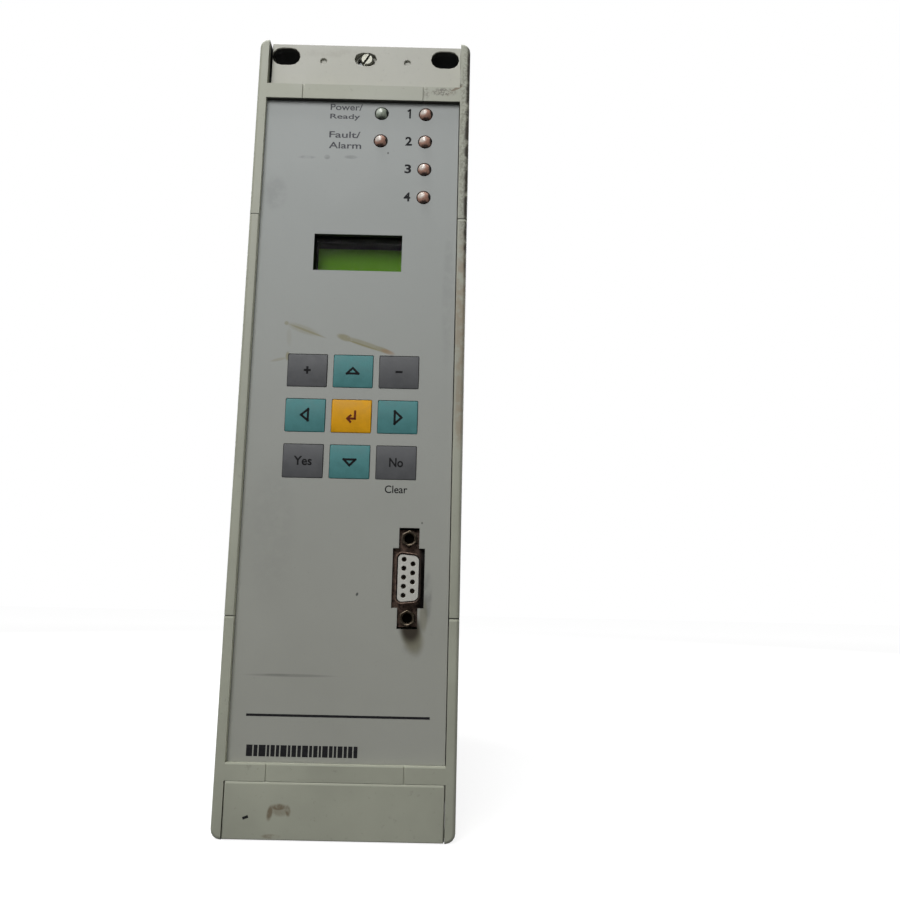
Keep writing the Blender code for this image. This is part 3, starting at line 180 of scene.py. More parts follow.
def paint(name):
    """A colour from the sidebar, as four linear channels."""
    return (*getattr(bpy.context.scene.relay_colours, name), 1.0)


def tint(tone, factor):
    """A lighter or darker version of a colour."""
    return (*[min(1.0, channel * factor) for channel in tone[:3]], 1.0)


# Materials

def add_node(tree, kind, inputs=(), **settings):
    """Add a node; inputs maps its sockets to values, or to the sockets that feed them."""
    node = tree.nodes.new(kind)
    for name, value in settings.items():
        setattr(node, name, value)
    for socket, value in dict(inputs).items():
        if isinstance(value, bpy.types.NodeSocket):
            tree.links.new(value, node.inputs[socket])
        else:
            node.inputs[socket].default_value = value
    return node


class Finish:
    """A material under construction: its tree, its Principled shader and its Object coordinates."""

    def __init__(self, name, **sockets):
        self.material = bpy.data.materials.new(name)
        self.material.use_nodes = True
        self.tree = self.material.node_tree
        self.shader = self.tree.nodes["Principled BSDF"]
        for socket, value in sockets.items():
            self.shader.inputs[socket.replace("_", " ")].default_value = value
        self.place = add_node(self.tree, "ShaderNodeTexCoord").outputs["Object"]

    def noise(self, grain, detail=2.0, roughness=0.5):
        """Noise whose grains are about as wide as the given millimetres."""
        return add_node(self.tree, "ShaderNodeTexNoise", {
            "Vector": self.place, "Scale": 1 / (grain * MM), "Detail": detail,
            "Roughness": roughness}).outputs["Fac"]

    def span(self, value, low, high, to_low=0.0, to_high=1.0):
        """Map one range of a value to another, clamped and eased."""
        return add_node(self.tree, "ShaderNodeMapRange", {
            "Value": value, 1: low, 2: high, 3: to_low, 4: to_high},
            interpolation_type="SMOOTHSTEP").outputs["Result"]

    def sum(self, operation, first, second):
        """Two values through one piece of arithmetic."""
        return add_node(self.tree, "ShaderNodeMath", {0: first, 1: second}, operation=operation).outputs[0]

    def over(self, factor, under, top, blend="MIX"):
        """One colour laid over another."""
        return add_node(self.tree, "ShaderNodeMix", {"Factor": factor, 6: under, 7: top}, data_type="RGBA",
                        blend_type=blend).outputs[2]

    def moved(self, x=0.0, z=0.0, turn=0.0, scale=(1, 1, 1)):
        """Coordinates centred on a place of the relay's face, turned about y and measured in scale."""
        return add_node(self.tree, "ShaderNodeMapping", {
            "Vector": self.place, "Location": FACE @ Vector((x, 0, z)),
            "Rotation": (0, math.radians(turn), 0), "Scale": [s * MM for s in scale]},
            vector_type="TEXTURE").outputs[0]

    def beyond(self, axis, place, soft=0.05):
        """0 before and 1 beyond a place along one axis, in millimetres from the face's centre."""
        value = add_node(self.tree, "ShaderNodeSeparateXYZ", {"Vector": self.place}).outputs[axis]
        edge = FACE.translation[axis] + place * MM
        return self.span(value, edge - soft * MM, edge + soft * MM)

    def within(self, *ranges):
        """1 inside a box of (low, high) ranges along x, y and z."""
        inside = None
        for axis, (low, high) in enumerate(ranges):
            part = self.sum("SUBTRACT", self.beyond(axis, low), self.beyond(axis, high))
            inside = part if inside is None else self.sum("MULTIPLY", inside, part)
        return inside

    def ovals(self, places, depth=12.0):
        """The strongest of several soft ovals, each (x, z, width, height, turn, strength)."""
        total = None
        for x, z, width, height, turn, strength in places:
            inside = self.moved(x, z, turn, (width / 2, depth, height / 2))
            fall = add_node(self.tree, "ShaderNodeTexGradient", {"Vector": inside},
                            gradient_type="SPHERICAL").outputs["Fac"]
            soft = self.span(fall, 0.0, 0.55, 0.0, strength)
            total = soft if total is None else self.sum("MAXIMUM", total, soft)
        return total

    def relief(self, height, depth):
        """Bump of the given depth in millimetres."""
        bump = add_node(self.tree, "ShaderNodeBump", {
            "Height": height, "Distance": depth * MM, "Strength": 1.0})
        self.tree.links.new(bump.outputs["Normal"], self.shader.inputs["Normal"])

    def finished(self, base, roughness=None):
        """Link the colour and, where it varies, the roughness."""
        self.tree.links.new(base, self.shader.inputs["Base Color"])
        if roughness is not None:
            self.tree.links.new(roughness, self.shader.inputs["Roughness"])
        return self.material


def moulded(name, tone, dirt=(), specks=(), grain=0.35, roughness=0.5, ageing=0.08, painted_shade_boxes=(), painted_highlight_boxes=()):
    """Injection-moulded plastic: satin and finely grained, uneven where it has aged and been handled.

    dirt is pairs of ovals and a film's colour, some of them painted shade, and specks are ovals.
    painted_shade_boxes are painted dark as shade, and painted_highlight_boxes are pairs of a box and
    how much paler it is painted as a highlight.
    """
    made = Finish(name, IOR=1.53)
    cloud = made.span(made.noise(28, 4), 0.3, 0.7)
    shade = made.over(cloud, tint(tone, 1 - ageing), tint(tone, 1 + ageing))
    grime_and_shade = made.span(made.noise(1.6, 3, 0.6), 0.62, 0.74, 0.0, 0.3)
    shade = made.over(grime_and_shade, shade, tint(tone, 0.6))
    for places, film in dirt:
        broken = made.span(made.noise(4.5, 4, 0.65), 0.32, 0.6)
        shade = made.over(made.sum("MULTIPLY", made.ovals(places, DIRT_DEPTH), broken), shade, film)
    if specks:
        fine = made.span(made.noise(0.9, 3, 0.7), 0.46, 0.56)
        spots = made.sum("MULTIPLY", made.ovals(specks, DIRT_DEPTH), fine)
        shade = made.over(spots, shade, tint(paint("stain"), 0.3))
    # painted_shade_boxes darken to 0.07 of the tone, and painted_highlight_boxes are painted paler.
    for ranges, factor in [(ranges, 0.07) for ranges in painted_shade_boxes] + list(painted_highlight_boxes):
        shade = made.over(made.within(*ranges), shade, tint(tone, factor))
    made.relief(made.noise(grain, 3, 0.6), 0.02)
    return made.finished(shade, made.span(cloud, 0, 1, roughness - 0.05, roughness + 0.08))


def frame_plastic():
    """Polycarbonate blend, moulded: beige-grey, browner where dirt has settled on the right rail, with
    painted shade in its hollows, its joints and along the right rail's outer edge, and painted highlights
    along some edges.
    """
    rail = [(35.4, 34, 5, 76, 0, 0.5), (36.0, 48, 3.4, 38, 0, 0.5), (35.6, 2, 4, 36, 0, 0.45)]
    marks = [(28, 113.9, 9, 3.4, 0, 0.35), (0, 116.1, 66, 0.7, 0, 0.35),
             (-19.2, -124.9, 2.2, 5.6, 10, 0.95), (-16.6, -123.2, 6.0, 2.6, 0, 1.0),
             (-13.8, -124.2, 2.2, 4.2, -8, 0.95), (-16.2, -124.4, 6.0, 3.8, 0, 0.5),
             (-18.5, -131.6, 7, 1.8, 0, 0.7), (32.6, 115.6, 5.5, 1.2, -30, 2.5)]
    # Painted shade along the right rail's rounded outer edge, which faces away from the light, and one dark
    # mark by the top crossbar's right end.
    grime_and_shade = [(37.2, 92, 4.2, 130, 0, 1.7), (37.5, -10, 1.6, 190, 0, 1.2), (33.2, 116.7, 3.6, 1.0, -22, 2.2)]
    dirt = [(rail, paint("handled")), (marks, paint("stain")), (grime_and_shade, opaque("#3D3A32"))]
    specks = [(35.6, 96, 5.0, 104, 0, 0.4), (28, 114, 11, 4, 0, 0.7), (22.0, 113.5, 3, 5, 0, 0.5)]
    left, right, edge = (-38, -33), (33, 38), (-1, 1.2)
    # Painted shade: dark deep inside the frame, on the left rail's inner wall above the top crossbar, under
    # the top crossbar and in the four rail joints.
    painted_shade_boxes = [((-35.4, 35.4), (6.2, 29.3), (-133, 133)), ((-34, -33.5), (3.0, 6.3), (116.4, 133)),
              ((-33.6, 33.6), (0.35, 3), (110.4, 110.8))]
    painted_shade_boxes += [(side, (-1, 5), (joint - half, joint + half)) for side, joint, half in (
        (right, JOINT_UPPER_RIGHT, 0.15), (right, JOINT_LOWER_RIGHT, 0.17),
        (left, JOINT_UPPER_LEFT, 0.08), (left, JOINT_LOWER_LEFT, 0.12))]
    # Painted highlights: paler on the left rail's inner wall, along the lower crossbar's and the cap's upper
    # edges, and just below three rail joints.
    painted_highlight_boxes = [(((-33.8, -33.5), (0.3, 3), (-110.4, 110.3)), 2.4),
              (((-33.6, 33.6), edge, (-111.1, -110.3)), 1.5), (((-33.0, 33.0), edge, (-116.65, -116.0)), 1.4),
              (((33.8, 38), edge, (-67.0, -66.32)), 1.45), (((33.8, 38), edge, (66.5, 67.1)), 1.25),
              (((-38, -33.8), edge, (-67.4, -66.82)), 1.3)]
    return moulded("frame_plastic", paint("frame"), dirt, specks, painted_shade_boxes=painted_shade_boxes, painted_highlight_boxes=painted_highlight_boxes)


def printed_foil():
    """Printed polyester foil: smooth satin, with grime, brown streaks and scratches, painted shadow round the
    serial port, painted shade in black behind the foil's face, and a painted tint of the light towards its
    lower end.
    """
    made = Finish("printed_foil", IOR=1.5)
    tone = paint("panel")
    cloud = made.span(made.noise(45, 4, 0.55), 0.3, 0.7)
    # Painted tint of the light: the foil turns warmer towards its lower end.
    shade = made.over(made.beyond(2, 10, 100), paint("panel_low"), tone)
    shade = made.over(made.sum("MULTIPLY", cloud, 0.1), shade, (1, 1, 1, 1), "SOFT_LIGHT")
    dust = made.span(made.noise(0.9, 2, 0.7), 0.66, 0.76, 0.0, 0.22)
    shade = made.over(dust, shade, tint(tone, 0.6))
    # Smudges, and painted shadow below the port and right of its lower flange.
    smudges_and_shadow = made.ovals([(-18.7, 89.4, 7.5, 1.6, 0, 0.4), (-11.8, 89.6, 2.6, 2.2, 0, 0.5),
                          (-3.5, 89.8, 6.0, 1.8, 0, 0.4), (-29, 76, 10, 16, 0, 0.2),
                          (22.0, -74.5, 8, 12, -14, 0.2), (26.8, -60, 3.4, 20, 0, 0.45),
                          (31, 40, 5, 60, 0, 0.12), (-24, -40, 20, 60, 0, 0.08)])
    worn = made.span(made.noise(3.2, 3, 0.6), 0.25, 0.6)
    shade = made.over(made.sum("MULTIPLY", smudges_and_shadow, worn), shade, tint(tone, 0.35))
    streaks = made.ovals([(-16.0, 27.2, 17.5, 1.2, 20, 0.75), (-17.0, 27.6, 15.0, 3.6, 19, 0.35),
                          (-22.6, 29.6, 2.0, 1.8, 20, 0.6), (3.8, 22.9, 22.0, 2.6, 17.6, 0.6),
                          (3.4, 22.5, 19.0, 0.9, 17.6, 0.95), (-3.0, 25.0, 7.0, 2.9, 17.6, 0.75),
                          (9.3, 21.2, 9.0, 2.3, 17.6, 0.7), (-24.6, 17.0, 7.0, 1.4, -14, 0.35),
                          (-21.7, 18.2, 1.8, 4.0, 0, 0.7), (-21.5, 24.8, 2.4, 8.0, -3, 0.15)])
    broken = made.span(made.noise(1.1, 4, 0.7), 0.2, 0.45, 0.6, 1.0)
    shade = made.over(made.sum("MULTIPLY", streaks, broken), shade, paint("streak"))
    for film, places in (
            (opaque("#8A6238"), [(11.4, 20.4, 6.4, 2.0, 17, 0.45)]),
            # Painted shadow below and right of the serial port: an olive halo, then a dark brown core.
            (opaque("#575028"), [(22.3, -72.0, 8.5, 14.5, -14, 0.6), (25.6, -65.5, 3.4, 14.0, 0, 0.4)]),
            (opaque("#241904"), [(21.5, -69.3, 8.6, 12.5, -10, 0.97)]),
            (tint(tone, 0.16), [(4.4, -59.2, 1.0, 1.5, 20, 1.0), (9.2, 91.6, 0.9, 1.1, 0, 0.8),
                                (24.4, -36.2, 0.8, 1.0, 0, 0.7), (-15.4, -84.6, 34, 1.2, 0, 0.3),
                                (-19.4, -84.5, 14, 0.9, 0, 0.4)])):
        shade = made.over(made.ovals(places), shade, film)
    # Painted shade: black on every surface behind the foil's face, on the walls of the openings for lamps,
    # keys, display and port.
    shade = made.over(made.beyond(1, PANEL_FRONT + 0.16), shade, opaque("#141415"))
    made.relief(made.noise(0.25, 2), 0.004)
    return made.finished(shade, made.span(cloud, 0, 1, 0.52, 0.62))


def key_plastic(name, tone):
    """Moulded key cap: smooth satin with the mottle of years of finger grease."""
    made = Finish(name, IOR=1.53, Specular_IOR_Level=0.16)
    mottle = made.span(made.noise(3.5, 4, 0.6), 0.3, 0.7)
    shade = made.over(mottle, tint(tone, 0.93), tint(tone, 1.07))
    made.relief(made.noise(0.3, 3), 0.006)
    return made.finished(shade, made.span(mottle, 0, 1, 0.4, 0.55))


def ink(name, tone):
    """Screen-printing ink: dense and dull, worn thin in places."""
    made = Finish(name, Roughness=0.6, Specular_IOR_Level=0.1)
    worn = made.span(made.noise(0.8, 3, 0.6), 0.35, 0.7)
    return made.finished(made.over(worn, tone, tint(tone, 1.7)))


def galvanised():
    """Hot-dip galvanised sheet: broad crystals, each with its own sheen."""
    made = Finish("galvanised_sheet", Metallic=1.0)
    cells = add_node(made.tree, "ShaderNodeTexVoronoi", {
        "Vector": made.place, "Scale": 1 / (size("spangle") * MM), "Randomness": 1.0})
    each = add_node(made.tree, "ShaderNodeSeparateColor", {"Color": cells.outputs["Color"]})
    tone = paint("zinc")
    shade = made.over(each.outputs[0], tint(tone, 0.82), tint(tone, 1.05))
    film = made.span(made.noise(30, 4, 0.6), 0.4, 0.75, 0.0, 0.35)
    shade = made.over(film, shade, tint(tone, 0.6))
    made.relief(made.noise(1.2, 3), 0.004)
    return made.finished(shade, made.span(each.outputs[1], 0, 1, 0.42, 0.6))


def plated_steel(name, hex_colour, roughness=0.3, dirt=0.3, painted_shade_from=None):
    """Zinc-plated or tinned steel: fine scratches, dull brown film, and painted shade in black beyond a given
    depth.
    """
    made = Finish(name, Metallic=1.0)
    tone = opaque(hex_colour)
    film = made.span(made.noise(1.6, 4, 0.65), 0.42, 0.7, 0.0, dirt)
    shade = made.over(film, tone, tint(paint("stain"), 0.5))
    if painted_shade_from is not None:
        shade = made.over(made.beyond(1, painted_shade_from, 0.3), shade, tint(tone, 0.03))
    fine = made.noise(0.18, 3, 0.6)
    made.relief(fine, 0.006)
    return made.finished(shade, made.span(fine, 0.3, 0.7, roughness - 0.08, roughness + 0.12))


def dirty_tin(middle):
    """Dull tinned steel: a rusty brown film, seen on its left half, and painted shadow in black on the right,
    where the collar shades the flange.
    """
    made = Finish("dull_tin", Metallic=0.6)
    film = made.span(made.noise(1.4, 4, 0.65), 0.35, 0.7)
    shade = made.over(film, opaque("#7A6558"), opaque("#3A2C26"))
    painted_shadow = made.beyond(0, middle + 3.2, 1.6)
    shade = made.over(painted_shadow, shade, opaque("#0E0A08"))
    made.relief(made.noise(0.5, 3, 0.6), 0.02)
    return made.finished(shade, made.span(film, 0, 1, 0.35, 0.6))


def lens_epoxy(name, tones, nodes):
    """Tinted epoxy dome; its tones are those of the body, of a painted highlight on its crown and of painted
    shade at its foot and right side.
    """
    made = Finish(name, IOR=1.52, Transmission_Weight=0.15, Roughness=0.14)
    body, crown, painted_shade_tone = [opaque(tone) for tone in tones]
    cloud = made.span(made.noise(1.2, 2), 0.3, 0.7)
    shade = made.over(cloud, body, tint(body, 0.85))
    middles = [extent(node)[0] for node in nodes]
    # Painted shade low on each dome and on its right side, and a painted highlight at its upper left.
    low = made.ovals([(m.x + 0.2, m.z - 2.4, 6.4, 2.6, 0, 0.95) for m in middles])
    side = made.ovals([(m.x + 2.2, m.z - 0.2, 1.7, 3.4, -20, 0.95) for m in middles])
    high = made.ovals([(m.x - 0.8, m.z + 0.35, 3.2, 3.2, -25, 1.0) for m in middles])
    shade = made.over(made.sum("MAXIMUM", low, side), shade, painted_shade_tone)
    return made.finished(made.over(high, shade, crown))


def cast_core(name, hex_colour):
    """Coloured resin cast round the chip, with painted shade where it lies deep in its hole."""
    made = Finish(name, IOR=1.52, Roughness=0.3)
    tone = opaque(hex_colour)
    mottle = made.span(made.noise(0.9, 2), 0.3, 0.7)
    shade = made.over(mottle, tone, tint(tone, 0.8))
    return made.finished(made.over(made.beyond(1, 2.95, 0.35), shade, tint(tone, 0.06)))


def clear_pane():
    """Clear acrylic pane, dusty and a little greasy."""
    made = Finish("acrylic_pane", IOR=1.49, Roughness=0.05, Alpha=0.05, Specular_IOR_Level=0.2)
    dust = made.span(made.noise(6, 4, 0.6), 0.35, 0.75)
    return made.finished(made.over(dust, (0.02, 0.02, 0.02, 1), (0.06, 0.06, 0.05, 1)))


def display_glass():
    """Reflective liquid-crystal glass: matt green with a faint grid of cells inside a black mask, and a
    painted highlight on its left.
    """
    made = Finish("display_glass", IOR=1.5, Roughness=0.35, Specular_IOR_Level=0.04)
    tone = paint("display")
    flat = add_node(made.tree, "ShaderNodeMapping", {
        "Vector": made.moved(-14, 49), "Rotation": (math.radians(-90), 0, 0)}).outputs[0]
    cells = add_node(made.tree, "ShaderNodeTexBrick", {
        "Vector": flat, "Color1": (1, 1, 1, 1), "Color2": (0.96, 0.96, 0.96, 1), "Mortar": (0, 0, 0, 1),
        "Scale": 1.0, "Mortar Size": 0.18, "Mortar Smooth": 0.3, "Brick Width": 1.75, "Row Height": 5.2},
        offset=0.0, squash=1.0).outputs["Color"]
    shade = made.over(cells, tone, tint(tone, 0.86))
    # Painted highlight: a paler patch on the left of the glass.
    glow = made.ovals([(-10.5, 54, 9, 9, 0, 0.35), (-12.5, 56.5, 2.5, 2.5, 0, 0.3)])
    shade = made.over(glow, shade, tint(tone, 1.7))
    glass = made.within((-14.35, 14.7), (-20, 40), (40, 59.4))
    return made.finished(made.over(glass, opaque("#0C0D0B"), shade))


def solder_mask():
    """Glass-epoxy board under green solder mask, its copper tracks showing through."""
    made = Finish("solder_mask", IOR=1.5)
    tracks = add_node(made.tree, "ShaderNodeTexBrick", {
        "Vector": made.moved(scale=(4, 4, 4)), "Mortar Size": 0.04, "Brick Width": 0.9, "Row Height": 0.3,
        "Scale": 1.0}).outputs["Fac"]
    shade = made.over(tracks, opaque("#2B5536"), opaque("#4A7A48"))
    made.relief(tracks, 0.03)
    return made.finished(shade, made.span(made.noise(8), 0.3, 0.7, 0.35, 0.5))


def laminated_core():
    """Varnished stack of iron sheets, half a millimetre each."""
    made = Finish("laminated_core", Metallic=0.4)
    layers = add_node(made.tree, "ShaderNodeTexWave", {"Vector": made.place, "Scale": 1 / (3.1 * MM),
                                                       "Distortion": 0.4}, bands_direction="X").outputs["Fac"]
    shade = made.over(layers, opaque("#3A3735"), opaque("#5C5854"))
    made.relief(layers, 0.08)
    return made.finished(shade, made.span(made.noise(4), 0.3, 0.7, 0.45, 0.65))


def ribbon():
    """Flat cable: grey wires side by side, 1.27 mm apart."""
    made = Finish("flat_cable", IOR=1.5, Roughness=0.5)
    wires = add_node(made.tree, "ShaderNodeTexWave", {"Vector": made.place, "Scale": 1 / (8.0 * MM)},
                     bands_direction="Z").outputs["Fac"]
    made.relief(wires, 0.3)
    return made.finished(made.over(wires, opaque("#7F8284"), opaque("#A4A7A9")))


# Shapes, drawn in millimetres about the relay's face

def box(bm, x, y, z, corner=0.0):
    """A box between three (low, high) pairs, its edges along y rounded to corner. Returns its verts."""
    verts = bmesh.ops.create_cube(bm, size=1.0)["verts"]
    bmesh.ops.scale(bm, vec=[high - low for low, high in (x, y, z)], verts=verts)
    bmesh.ops.translate(bm, vec=[(low + high) / 2 for low, high in (x, y, z)], verts=verts)
    if corner:
        round_along_y(bm, verts, corner, 5)
    return verts


def round_along_y(bm, verts, corner, segments):
    """Bevel a prism's edges that run along y."""
    edges = {e for v in verts for e in v.link_edges
             if abs((e.verts[0].co - e.verts[1].co).normalized().y) > 0.9}
    bmesh.ops.bevel(bm, geom=list(edges), offset=corner, segments=segments, profile=0.5, affect="EDGES",
                    material=-1)


def rod(bm, x, z, radius, y, sides=48):
    """A cylinder along y."""
    place = Matrix.Translation((x, (y[0] + y[1]) / 2, z)) @ Matrix.Rotation(math.pi / 2, 4, "X")
    bmesh.ops.create_cone(bm, cap_ends=True, segments=sides, radius1=radius, radius2=radius,
                          depth=y[1] - y[0], matrix=place)


def turned(bm, profile, x, z, sides=48):
    """A profile of (radius, depth) points spun about an axis along y."""
    verts = [bm.verts.new((x + radius, depth, z)) for radius, depth in profile]
    edges = [bm.edges.new(pair) for pair in zip(verts, verts[1:])]
    bmesh.ops.spin(bm, geom=verts + edges, cent=(x, 0, z), axis=(0, 1, 0), angle=2 * math.pi, steps=sides,
                   use_merge=True)
    bmesh.ops.remove_doubles(bm, verts=bm.verts, dist=0.0005)


def before(depth):
    """A test for points in front of a depth."""
    return lambda point: point.y < depth


def round_edges(bm, offset, segments, test=None):
    """Bevel the sharp edges whose middle passes a test."""
    edges = [e for e in bm.edges if len(e.link_faces) == 2 and e.calc_face_angle(0) > SHARP
             and (test is None or test((e.verts[0].co + e.verts[1].co) / 2))]
    bmesh.ops.bevel(bm, geom=edges, offset=offset, segments=segments, profile=0.5, affect="EDGES",
                    material=-1, clamp_overlap=True)


def outward(bm):
    """Turn the faces outwards."""
    bmesh.ops.recalc_face_normals(bm, faces=bm.faces)


def verts_of(geometry):
    """The vertices among what a bmesh operator gives back."""
    return [part for part in geometry if isinstance(part, bmesh.types.BMVert)]


def placed(name, data):
    """A new object in the scene."""
    made = bpy.data.objects.new(name, data)
    bpy.context.scene.collection.objects.link(made)
    return made


def tidied(bm):
    """Merge doubles and flat neighbours, and turn the faces outwards."""
    bmesh.ops.remove_doubles(bm, verts=bm.verts, dist=0.001)
    bmesh.ops.dissolve_limit(bm, angle_limit=math.radians(1), verts=bm.verts, edges=bm.edges)
    outward(bm)
    return bm


def carved(bm, cutter):
    """Take one bmesh's closed shapes away from another's."""
    pair = []
    for shape in (bm, cutter):
        outward(shape)
        mesh = bpy.data.meshes.new("carving")
        shape.to_mesh(mesh)
        shape.free()
        pair.append(placed("carving", mesh))
    step = pair[0].modifiers.new("cut", "BOOLEAN")
    step.operation, step.solver, step.use_self, step.object = "DIFFERENCE", "EXACT", True, pair[1]
    result = bmesh.new()
    result.from_object(pair[0], bpy.context.evaluated_depsgraph_get())
    for made in pair:
        bpy.data.meshes.remove(made.data)
    return tidied(result)


def piece(name, bm, material, body, replaces=None):
    """Turn a bmesh into an object that rides on a body and has even normals."""
    bm.transform(FACE)
    mesh = bpy.data.meshes.new(name)
    bm.to_mesh(mesh)
    bm.free()
    mesh.shade_smooth()
    mesh.set_sharp_from_angle(angle=SMOOTH)
    mesh.materials.append(material)
    made = placed(name, mesh)
    made.modifiers.new("even_normals", "WEIGHTED_NORMAL").keep_sharp = True
    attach(made, body)
    if replaces:
        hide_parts(replaces)


def cad_copy(node):
    """A CAD node's mesh in millimetres about the face, its triangles merged into flat faces."""
    bm = bmesh.new()
    bm.from_mesh(frame["nodes"][node].data)
    bm.transform(FACE.inverted())
    return tidied(bm)


def dressed(node, material, offset):
    """A copy of a CAD node that stands for it, with its edges rounded."""
    bm = cad_copy(node)
    round_edges(bm, offset, 2)
    piece(node + "_finish", bm, material, "relay", node)


def painted(nodes, material):
    """Give CAD nodes a finish."""
    for node in nodes:
        mesh = frame["nodes"][node].data
        mesh.materials.clear()
        mesh.materials.append(material)


def joined(bm, part):
    """Add one bmesh's shapes to another's."""
    held = bpy.data.meshes.new("held")
    part.to_mesh(held)
    part.free()
    bm.from_mesh(held)
    bpy.data.meshes.remove(held)


def extent(node):
    """Middle and corners of a CAD node, in millimetres about the face."""
    low, high = (FACE.inverted() @ Vector(corner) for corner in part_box(node))
    return (low + high) / 2, low, high


# Printing

def lettered(bm, text, x, z, height, width, front, back, weight=0.012):
    """Sans-serif characters fitted into a box that is centred on a place."""
    curve = bpy.data.curves.new("letters", "FONT")
    curve.body, curve.align_x, curve.offset = text, "CENTER", weight
    made = placed("letters", curve)
    mesh = bpy.data.meshes.new_from_object(made.evaluated_get(bpy.context.evaluated_depsgraph_get()))
    bpy.data.curves.remove(curve)
    drawn = bmesh.new()
    drawn.from_mesh(mesh)
    bpy.data.meshes.remove(mesh)
    bmesh.ops.remove_doubles(drawn, verts=drawn.verts, dist=1e-5)
    xs, zs = [v.co.x for v in drawn.verts], [v.co.y for v in drawn.verts]
    middle = Vector(((min(xs) + max(xs)) / 2, (min(zs) + max(zs)) / 2, 0))
    bmesh.ops.translate(drawn, vec=-middle, verts=drawn.verts)
    fit = (width / (max(xs) - min(xs)), height / (max(zs) - min(zs)), 1)
    bmesh.ops.scale(drawn, vec=fit, verts=drawn.verts)
    bmesh.ops.rotate(drawn, matrix=Matrix.Rotation(math.pi / 2, 3, "X"), verts=drawn.verts)
    bmesh.ops.translate(drawn, vec=(x, front, z), verts=drawn.verts)
    grown = bmesh.ops.extrude_face_region(drawn, geom=drawn.faces[:])["geom"]
    bmesh.ops.translate(drawn, vec=(0, back - front, 0), verts=verts_of(grown))
    outward(drawn)
    joined(bm, drawn)


def line(bm, start, end, width, front, back):
    """A straight printed stroke between two (x, z) points."""
    start, end = Vector((start[0], 0, start[1])), Vector((end[0], 0, end[1]))
    along = end - start
    reach = along.length / 2
    verts = box(bm, (-reach, reach), (front, back), (-width / 2, width / 2))
    turn = Matrix.Rotation(-math.atan2(along.z, along.x), 3, "Y")
    bmesh.ops.rotate(bm, matrix=turn, verts=verts)
    bmesh.ops.translate(bm, vec=(start + end) / 2, verts=verts)


def strokes(bm, points, width, front, back, closed=False):
    """A chain of strokes, each a little longer than its part so that the corners are full."""
    chain = list(zip(points, points[1:] + points[:1])) if closed else list(zip(points, points[1:]))
    for start, end in chain:
        step = (Vector(end) - Vector(start)).normalized() * width / 2
        line(bm, Vector(start) - step, Vector(end) + step, width, front, back)


def slotted(bm, x, z, turns, reach, width, front, back):
    """A screw's head with a slot cut across it for each turn, in radians."""
    slot, here = bmesh.new(), Vector((x, z))
    for turn in turns:
        along = Vector((math.cos(turn), math.sin(turn))) * reach
        line(slot, here - along, here + along, width, front, back)
    return carved(bm, slot)


# Operators

